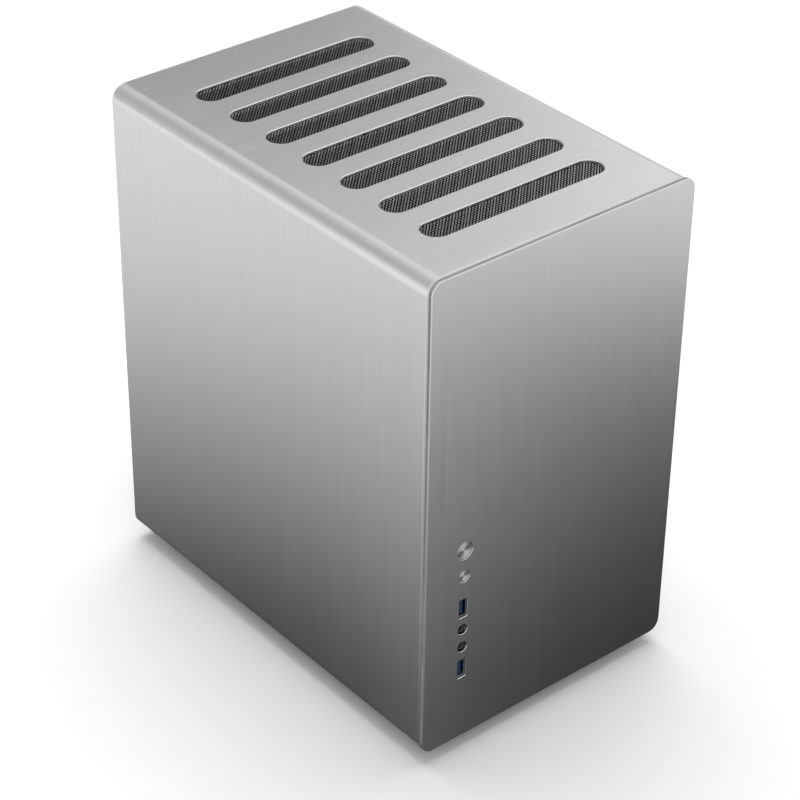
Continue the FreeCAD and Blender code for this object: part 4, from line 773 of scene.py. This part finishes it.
def make_thumbscrews():
    """Knurled screws with a cross slot, two on each side of the rear."""
    low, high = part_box("shell_thumbscrews")
    start = SLEEVE_HIGH[1]
    shank = (low[1] - start) / MM
    length = (high[1] - start) / MM
    r = SCREW_HEAD
    profile = [(1.7, shank), (1.7, 0), (r - 0.6, 0), (r, 0.6), (r, length - 0.8), (r - 0.7, length),
               (0.05, length)]

    def knurl(ring, step):
        return -0.28 * MM if ring in (3, 4) and step % 3 == 0 else 0

    replaced = ["shell_thumbscrews"]
    for side in (-1, 1):
        for number, z in enumerate((low[2] + r * MM, high[2] - r * MM)):
            centre = Vector((side * (high[0] - r * MM), start, z))
            mesh = prism("screw", lathe_points(in_mm(profile), centre, "y", 72, knurl))
            for wide, tall in ((2.6, 0.5), (0.5, 2.6)):
                corners = ((-wide, -tall), (wide, -tall), (wide, tall), (-wide, tall))
                ends = [[centre + Vector((a, y, b)) * MM for a, b in corners]
                        for y in (length - 1.6, length + 1)]
                mesh = subtract(mesh, prism("cross", ends))
            finish_mesh("thumbscrew_%d_%d" % (side + 1, number), mesh, FINISHES["bright_aluminium"],
                        "shell", replaced, 25)
            replaced = []


def make_feet():
    """Round rubber feet with a moulded hollow underneath."""
    low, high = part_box("feet")
    radius = 12
    r = radius * MM
    tall = (high[2] - low[2]) / MM
    profile = [(0.05, 1.2), (5, 1.2), (5.6, 0), (9.2, 0), (10.2, 0.5), (10.8, 1.4),
               (radius - 0.25, tall - 3.2), (radius, tall - 2.6), (radius, tall), (0.05, tall)]
    places = [(x, y) for x in (low[0] + r, high[0] - r) for y in (low[1] + r, high[1] - r)]
    for number, (x, y) in enumerate(places):
        lathe("foot_%d" % number, in_mm(profile), Vector((x, y, low[2])), "z", FINISHES["foot_rubber"],
              "chassis", () if number else ["feet"], 56)


# ---- Fans ----

BLADES = 7
SPAN_STEPS = 9
CHORD_STEPS = 7


def blade_mesh(blade, hub, tip, usable, place):
    """One swept blade, flatter and wider towards its tip; place(radius, turn, rise) gives a point."""
    root = hub - 0.8 * MM
    points = []
    for side in (1, -1):
        for i in range(SPAN_STEPS):
            share = i / (SPAN_STEPS - 1)
            radius = root + (tip - 0.3 * MM - root) * share
            chord = hub * 0.9 + (tip * 0.86 - hub * 0.9) * share
            pitch = math.radians(48 - 24 * share)
            for j in range(CHORD_STEPS):
                t = j / (CHORD_STEPS - 1) - 0.5
                turn = 2 * math.pi * blade / BLADES + 0.45 * share + chord * t * math.cos(pitch) / radius
                rise = chord * t * math.sin(pitch) + 1.6 * MM * (0.25 - t * t) * 4
                thick = (0.75 - 0.45 * abs(t) * 2) * MM * side
                points.append(place(radius, turn, max(-usable, min(usable, rise)) + thick))
    faces = []
    half = SPAN_STEPS * CHORD_STEPS
    for i in range(SPAN_STEPS - 1):
        for j in range(CHORD_STEPS - 1):
            a = i * CHORD_STEPS + j
            quad = (a, a + 1, a + CHORD_STEPS + 1, a + CHORD_STEPS)
            faces.append(quad)
            faces.append(tuple(half + index for index in quad[::-1]))
    rim = [i * CHORD_STEPS for i in range(SPAN_STEPS)]
    rim += [(SPAN_STEPS - 1) * CHORD_STEPS + j for j in range(1, CHORD_STEPS)]
    rim += [i * CHORD_STEPS + CHORD_STEPS - 1 for i in range(SPAN_STEPS - 2, -1, -1)]
    rim += range(CHORD_STEPS - 2, 0, -1)
    for a, b in zip(rim, rim[1:] + rim[:1]):
        faces.append((a, b, b + half, a + half))
    return mesh_from("blade", points, faces)


def make_rotor(node, body, axis):
    """A cup hub, its closed end towards the low side of the axis, with seven blades about it."""
    low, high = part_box(node)
    index = "xyz".index(axis)
    side = (index + 1) % 3
    tip = (high[side] - low[side]) / 2
    hub = (19 if tip > 50 * MM else 16) * MM
    closed, opened = low[index], high[index]
    base = middle_of(node)
    base[index] = 0
    floor = closed + 0.3 * MM
    profile = [(hub - 1.5 * MM, opened - 0.2 * MM), (hub, opened - 0.2 * MM), (hub, closed + 1.6 * MM),
               (hub - 0.5 * MM, closed + 0.5 * MM), (hub - 1.7 * MM, closed), (hub * 0.62, closed),
               (hub * 0.6, floor), (0.1 * MM, floor)]
    lathe(node + "_hub", profile, base, axis, FINISHES["rotor_grey"], body, [node], 64)
    middle = (opened + closed) / 2
    usable = (opened - closed) / 2 - 1.2 * MM

    def place(radius, turn, rise):
        return AXES[axis](base, radius * math.cos(turn), radius * math.sin(turn), middle - rise)

    blades = [blade_mesh(blade, hub, tip, usable, place) for blade in range(BLADES)]
    finish_mesh(node + "_blades", join(node + "_blades", blades), FINISHES["rotor_grey"], body, (), 40)


# ---- Main board details ----

FACE = BOARD_LOW[0]


def board_place(back, up):
    """A point on the board's face, in millimetres in front of its rear edge and above its lower edge."""
    return Vector((FACE, BOARD_HIGH[1] - back * MM, BOARD_LOW[2] + up * MM))


def board_block(name, back, up, length, height, thick, material, edge=0.3):
    """A block that stands on the board; its place and sizes are in millimetres."""
    half = Vector((0, length, height)) * MM / 2
    centre = board_place(back, up)
    low = centre - half - Vector((thick * MM, 0, 0))
    high = centre + half + Vector((0.02 * MM, 0, 0))
    return block(name, low, high, edge * MM, material)


def make_capacitors():
    """Round cans with a crimped foot, in rows."""
    rows = [(28 + 9.5 * n, 236) for n in range(4)] + [(150, 150 + 11 * n) for n in range(3)]
    rows += [(22, 62 + 12 * n) for n in range(2)] + [(170, 120), (170, 131), (214, 30), (225, 30)]
    r = 3.6
    tall = 8.5
    profile = [(r, 0), (r, -0.8), (r - 0.35, -1.3), (r, -1.8), (r, 0.5 - tall), (r - 0.5, -tall),
               (r * 0.5, 0.1 - tall), (0.1, 0.1 - tall)]
    for number, (back, up) in enumerate(rows):
        lathe("capacitor_%02d" % number, in_mm(profile), board_place(back, up), "x", CAN_ALUMINIUM,
              "chassis", (), 24)


def make_power_stage():
    """Chokes, their drivers and a finned heat spreader beside the processor socket."""
    spreader = FINISHES["memory_spreader"]
    for number in range(5):
        up = 128 + 15.5 * number
        board_block("choke_%d" % number, 60, up, 9, 10, 8, FERRITE, 1.2)
        board_block("driver_%d" % number, 49, up, 5, 6, 1, CHIP_BLACK, 0.15)
    for number in range(9):
        board_block("spreader_fin_%d" % number, 40, 132 + 8 * number, 13, 3, 20, spreader)
    board_block("spreader_base", 40, 164, 14, 70, 6, spreader)


def square_ring(place, half_y, half_z, x):
    """Four corners about a place on the board, at distance x along the board's normal."""
    return [(x, place.y + a * half_y * MM, place.z + b * half_z * MM)
            for a, b in ((-1, -1), (1, -1), (1, 1), (-1, 1))]


def make_small_parts():
    """Scattered chips and passive parts, kept off the large fittings."""
    chips = [(95, 40, 9, 9), (120, 64, 7, 7), (70, 92, 6, 9), (30, 100, 12, 12), (205, 92, 10, 10),
             (190, 60, 5, 8), (100, 106, 5, 5), (225, 190, 8, 8)]
    for number, (back, up, length, height) in enumerate(chips):
        board_block("chip_%02d" % number, back, up, length, height, 1.2, CHIP_BLACK, 0.15)
    meshes = []
    for number in range(150):
        back = RANDOM.uniform(18, 236)
        up = RANDOM.choice((RANDOM.uniform(6, 20), RANDOM.uniform(30, 70), RANDOM.uniform(84, 124),
                            RANDOM.uniform(226, 240)))
        place = board_place(back, up)
        half_y, half_z = (0.9, 0.5) if number % 2 else (0.5, 0.9)
        meshes.append(prism("part", [square_ring(place, half_y, half_z, FACE + 0.02 * MM),
                                     square_ring(place, half_y, half_z, FACE - 0.55 * MM),
                                     square_ring(place, half_y * 0.8, half_z * 0.8, FACE - 0.7 * MM)]))
    finish_mesh("small_parts", join("small_parts", meshes), FINISHES["plastic_pale"], "chassis", (), 30)


def make_pin_headers():
    """Double rows of gilt pins in black strips."""
    pitch = 2.54
    half = 0.32
    meshes = []
    for back, up, count in ((120, 10, 9), (150, 10, 5), (180, 10, 5), (60, 10, 8)):
        board_block("header_%d" % back, back, up, pitch * count, 5, 2.5, FINISHES["plastic_black"], 0.2)
        for column in range(count):
            for row in (-1, 1):
                place = board_place(back + (column - (count - 1) / 2) * pitch, up + pitch / 2 * row)
                meshes.append(prism("pin", [square_ring(place, half, half, FACE - 1 * MM),
                                            square_ring(place, half, half, FACE - 8 * MM),
                                            square_ring(place, half * 0.4, half * 0.4, FACE - 8.5 * MM)]))
    finish_mesh("header_pins", join("header_pins", meshes), GOLD, "chassis", (), 30)


def make_coin_cell():
    """The battery and the round holder it lies in."""
    place = board_place(100, 84)
    holder = [(10.6, 0), (10.6, -2.2), (10, -2.8), (0.1, -2.8)]
    cell = [(9.6, -2.6), (9.6, -4), (9.2, -4.4), (0.1, -4.4)]
    lathe("cell_holder", in_mm(holder), place, "x", FINISHES["plastic_black"], "chassis", (), 40)
    lathe("cell", in_mm(cell), place, "x", FINISHES["socket_steel"], "chassis", (), 40)


# ---- Rear ports ----

def boxes_of_solids(node):
    """The box round each separate solid of a node, told apart by the corners its faces share."""
    source = frame["nodes"][node]
    places = [source.matrix_world @ vertex.co for vertex in source.data.vertices]
    keys = [tuple(round(value / (0.01 * MM)) for value in place) for place in places]
    owner = {key: key for key in keys}

    def root(key):
        while owner[key] != key:
            key = owner[key]
        return key

    for polygon in source.data.polygons:
        first = root(keys[polygon.vertices[0]])
        for index in polygon.vertices[1:]:
            owner[root(keys[index])] = first
    groups = {}
    for key, place in zip(keys, places):
        groups.setdefault(root(key), []).append(place)
    boxes = [[[pick(place[axis] for place in group) for axis in range(3)] for pick in (min, max)]
             for group in groups.values()]
    return sorted(boxes, key=lambda box: box[0][2])


def make_port_inserts():
    """The dark moulding in each square rear port, and a tongue in all but the network port."""
    wall = 0.75 * MM
    tongues = (FINISHES["socket_blue"], FINISHES["plastic_black"], FINISHES["socket_blue"], None,
               FINISHES["socket_blue"])
    for number, (tongue, (low, high)) in enumerate(zip(tongues, boxes_of_solids("rear_ports"))):
        mouth = high[1]
        block("port_moulding_%d" % number, (low[0] + wall, mouth - 12.3 * MM, low[2] + wall),
              (high[0] - wall, mouth - 4 * MM, high[2] - wall), 0.2 * MM, FINISHES["plastic_black"])
        if tongue:
            centre = (low[0] + high[0]) / 2
            block("port_tongue_%d" % number, (centre - 0.9 * MM, mouth - 5 * MM, low[2] + 2 * MM),
                  (centre + 0.9 * MM, mouth - 1.2 * MM, high[2] - 2 * MM), 0.2 * MM, tongue)


# ---- Painting the carried-over nodes ----

SOFTENED = ("psu_cover", "hard_drive", "solid_state_drive", "cable_plugs", "cpu_socket", "board_sockets",
            "memory_module_1", "memory_module_2", "psu_rocker", "processor", "power_switch", "reset_switch")


def paint_frame():
    """Gives every CAD node its slot's finish, and the small boxy ones soft edges."""
    for part in frame["record"]["subparts"]:
        node = frame["nodes"][part["node"]]
        node.data.materials.clear()
        node.data.materials.append(FINISHES[part["material_slot"]])
    for name in SOFTENED:
        bevel = frame["nodes"][name].modifiers.new("soft_edges", "BEVEL")
        bevel.width = 0.25 * MM
        bevel.segments = 2
        bevel.limit_method = "ANGLE"
        bevel.angle_limit = math.radians(40)
        bevel.harden_normals = True


# ---- Stage, light and camera ----

def flat_card(name, points):
    mesh = bpy.data.meshes.new(name)
    mesh.from_pydata(points, [], [(0, 1, 2, 3)])
    return place_object(name, mesh)


def emission_card(name, points, strength_graph):
    """A reflector that is seen only in reflections."""
    card = flat_card(name, points)
    material = bpy.data.materials.new(name)
    material.use_nodes = True
    nodes = material.node_tree.nodes
    links = material.node_tree.links
    nodes.clear()
    output = nodes.new("ShaderNodeOutputMaterial")
    emission = nodes.new("ShaderNodeEmission")
    links.new(emission.outputs[0], output.inputs["Surface"])
    strength_graph(nodes, links, emission)
    card.data.materials.append(material)
    for setting in ("visible_camera", "visible_diffuse", "visible_shadow", "visible_transmission"):
        setattr(card, setting, False)


def vector_step(nodes, links, operation, first, second):
    """A vector operation on one output with another, or with plain numbers."""
    node = nodes.new("ShaderNodeVectorMath")
    node.operation = operation
    links.new(first, node.inputs[0])
    if isinstance(second, tuple):
        node.inputs[1].default_value = second
    else:
        links.new(second, node.inputs[1])
    return node.outputs[0]


def from_middle(nodes, links, centre, squeeze):
    """The distance in plan from a centre, with the depth direction squeezed."""
    place = nodes.new("ShaderNodeTexCoord").outputs["Object"]
    shifted = vector_step(nodes, links, "SUBTRACT", place, (*centre, 0))
    flat = vector_step(nodes, links, "MULTIPLY", shifted, (1, squeeze, 0))
    length = nodes.new("ShaderNodeVectorMath")
    length.operation = "LENGTH"
    links.new(flat, length.inputs[0])
    return length.outputs["Value"]


def radial_strength(centre, squeeze, stops, shade_centre, shade_stops):
    """Emission by distance from a centre, dimmed about a second centre."""
    def build(nodes, links, emission):
        level = ramp_of(nodes, links, from_middle(nodes, links, centre, squeeze), stops)
        shade = ramp_of(nodes, links, from_middle(nodes, links, shade_centre, 1), shade_stops)
        links.new(vector_step(nodes, links, "MULTIPLY", level, shade), emission.inputs["Color"])
    return build


def height_strength(stops):
    """Emission that depends on the height."""
    def build(nodes, links, emission):
        place = nodes.new("ShaderNodeTexCoord")
        axes = nodes.new("ShaderNodeSeparateXYZ")
        links.new(place.outputs["Object"], axes.inputs[0])
        links.new(ramp_of(nodes, links, axes.outputs["Z"], stops), emission.inputs["Color"])
    return build


def ramp_of(nodes, links, value, stops):
    """A grey level for each value, eased between (value, level) pairs."""
    first, last = stops[0][0], stops[-1][0]
    scaled = nodes.new("ShaderNodeMapRange")
    scaled.inputs["From Min"].default_value = first
    scaled.inputs["From Max"].default_value = last
    links.new(value, scaled.inputs["Value"])
    ramp = nodes.new("ShaderNodeValToRGB")
    ramp.color_ramp.interpolation = "B_SPLINE"
    elements = ramp.color_ramp.elements
    while len(elements) < len(stops):
        elements.new(0.5)
    for element, (where, level) in zip(elements, stops):
        element.position = (where - first) / (last - first)
        element.color = (level, level, level, 1)
    links.new(scaled.outputs["Result"], ramp.inputs["Fac"])
    return ramp.outputs["Color"]


def area_light(name, place, size, power):
    """A round lamp that points at the tower's middle and is not seen in reflections."""
    light = bpy.data.lights.new(name, "AREA")
    light.shape = "DISK"
    light.size = size
    light.energy = power
    lamp = place_object(name, light)
    lamp.location = place
    lamp.rotation_euler = (Vector((0, 0, 0.15)) - Vector(place)).to_track_quat("-Z", "Y").to_euler()
    lamp.visible_glossy = False


def square(reach):
    return [(-reach, -reach), (reach, -reach), (reach, reach), (-reach, reach)]


def make_floor():
    floor = flat_card("floor", [(x, y, 0) for x, y in square(12.0)])
    graph = Graph("pale_floor").put(Roughness=0.9, Base_Color=(0.86, 0.86, 0.86, 1), Specular_IOR_Level=0.1)
    floor.data.materials.append(graph.material)
    floor.visible_glossy = False


def make_reflectors():
    """A closed box of soft reflectors, with dark patches for the tower's foot and its top's far end."""
    corners = square(3.0)
    low = -0.002
    high = 1.3
    foot_glow = [(0.1, 0.02), (0.3, 0.16), (0.6, 0.78), (1.1, 0.95)]
    foot_shade = [(0.1, 0.25), (0.22, 0.5), (0.34, 0.92), (0.44, 1.0)]
    top_glow = [(0.4, 0.0), (0.65, 0.02), (0.77, 1.25), (1.1, 1.1), (2.2, 1.3)]
    top_shade = [(0.1, 0.4), (0.9, 0.45), (1.5, 1.0)]
    emission_card("low_reflector", [(x, y, low) for x, y in corners],
                  radial_strength((0.05, -0.03), 0.85, foot_glow, (0.36, -0.3), foot_shade))
    emission_card("high_reflector", [(x, y, high) for x, y in corners],
                  radial_strength((1.0, 2.2), 0.6, top_glow, (-1.1, 1.1), top_shade))
    front = [(0, 0.35), (0.5, 0.5), (0.8, 1.6), (1.3, 1.8)]
    right = [(0, 0.4), (0.35, 0.7), (0.7, 0.6), (1.3, 0.2)]
    back = [(0, 0.3), (1.3, 0.12)]
    left = [(0, 0.4), (0.3, 2.4), (0.8, 2.6), (1.3, 1.2)]
    for number, stops in enumerate((front, right, back, left)):
        start = corners[number]
        end = corners[(number + 1) % 4]
        points = [(*start, low), (*end, low), (*end, high), (*start, high)]
        emission_card("side_reflector_%d" % number, points, height_strength(stops))


def make_lights():
    world = bpy.data.worlds.new("studio")
    world.use_nodes = True
    background = world.node_tree.nodes["Background"]
    background.inputs["Color"].default_value = (0.9, 0.9, 0.9, 1)
    background.inputs["Strength"].default_value = 0.55
    bpy.context.scene.world = world
    area_light("overhead", (0.3, 0.5, 2.6), 2.4, 60)
    area_light("front_fill", (-1.6, -2.2, 1.8), 2.0, 22)


def make_camera():
    """The photo's viewpoint, found by fitting the box's edges."""
    azimuth = math.radians(-40.086)
    elevation = math.radians(33.331)
    roll = math.radians(0.800)
    distance = 1.7827
    target = Vector((0.0072, -0.0035, 0.1591))
    back = Vector((math.sin(azimuth) * math.cos(elevation), -math.cos(azimuth) * math.cos(elevation),
                   math.sin(elevation)))
    side = Vector((0, 0, 1)).cross(back).normalized()
    up = back.cross(side)
    right = math.cos(roll) * side + math.sin(roll) * up
    upright = math.cos(roll) * up - math.sin(roll) * side
    camera = place_object("camera", bpy.data.cameras.new("camera"))
    camera.data.lens = 115.27
    camera.data.sensor_width = 36
    camera.data.clip_end = 50
    rotation = Matrix((right, upright, back)).transposed().to_4x4()
    camera.matrix_world = Matrix.Translation(target + back * distance) @ rotation
    bpy.context.scene.camera = camera


# ---- Building ----

paint_frame()
make_sleeve()
make_sleeve_ears()
make_front_plate()
# The grey strip in the front groove is painted shade.
make_groove_shade_strip()
make_mesh_weave()
make_button("power_button")
make_button("reset_button")
make_usb("upper")
make_usb("lower")
make_jack("headphone_jack")
make_jack("microphone_jack")
make_thumbscrews()
make_feet()
make_rotor("rear_fan_rotor", "rear_rotor", "y")
make_rotor("cooler_fan_rotor", "cooler_rotor", "y")
make_rotor("psu_fan_rotor", "supply_rotor", "z")
make_capacitors()
make_power_stage()
make_small_parts()
make_pin_headers()
make_coin_cell()
make_port_inserts()
make_floor()
make_reflectors()
make_lights()
make_camera()
bpy.context.scene.view_settings.view_transform = "Standard"
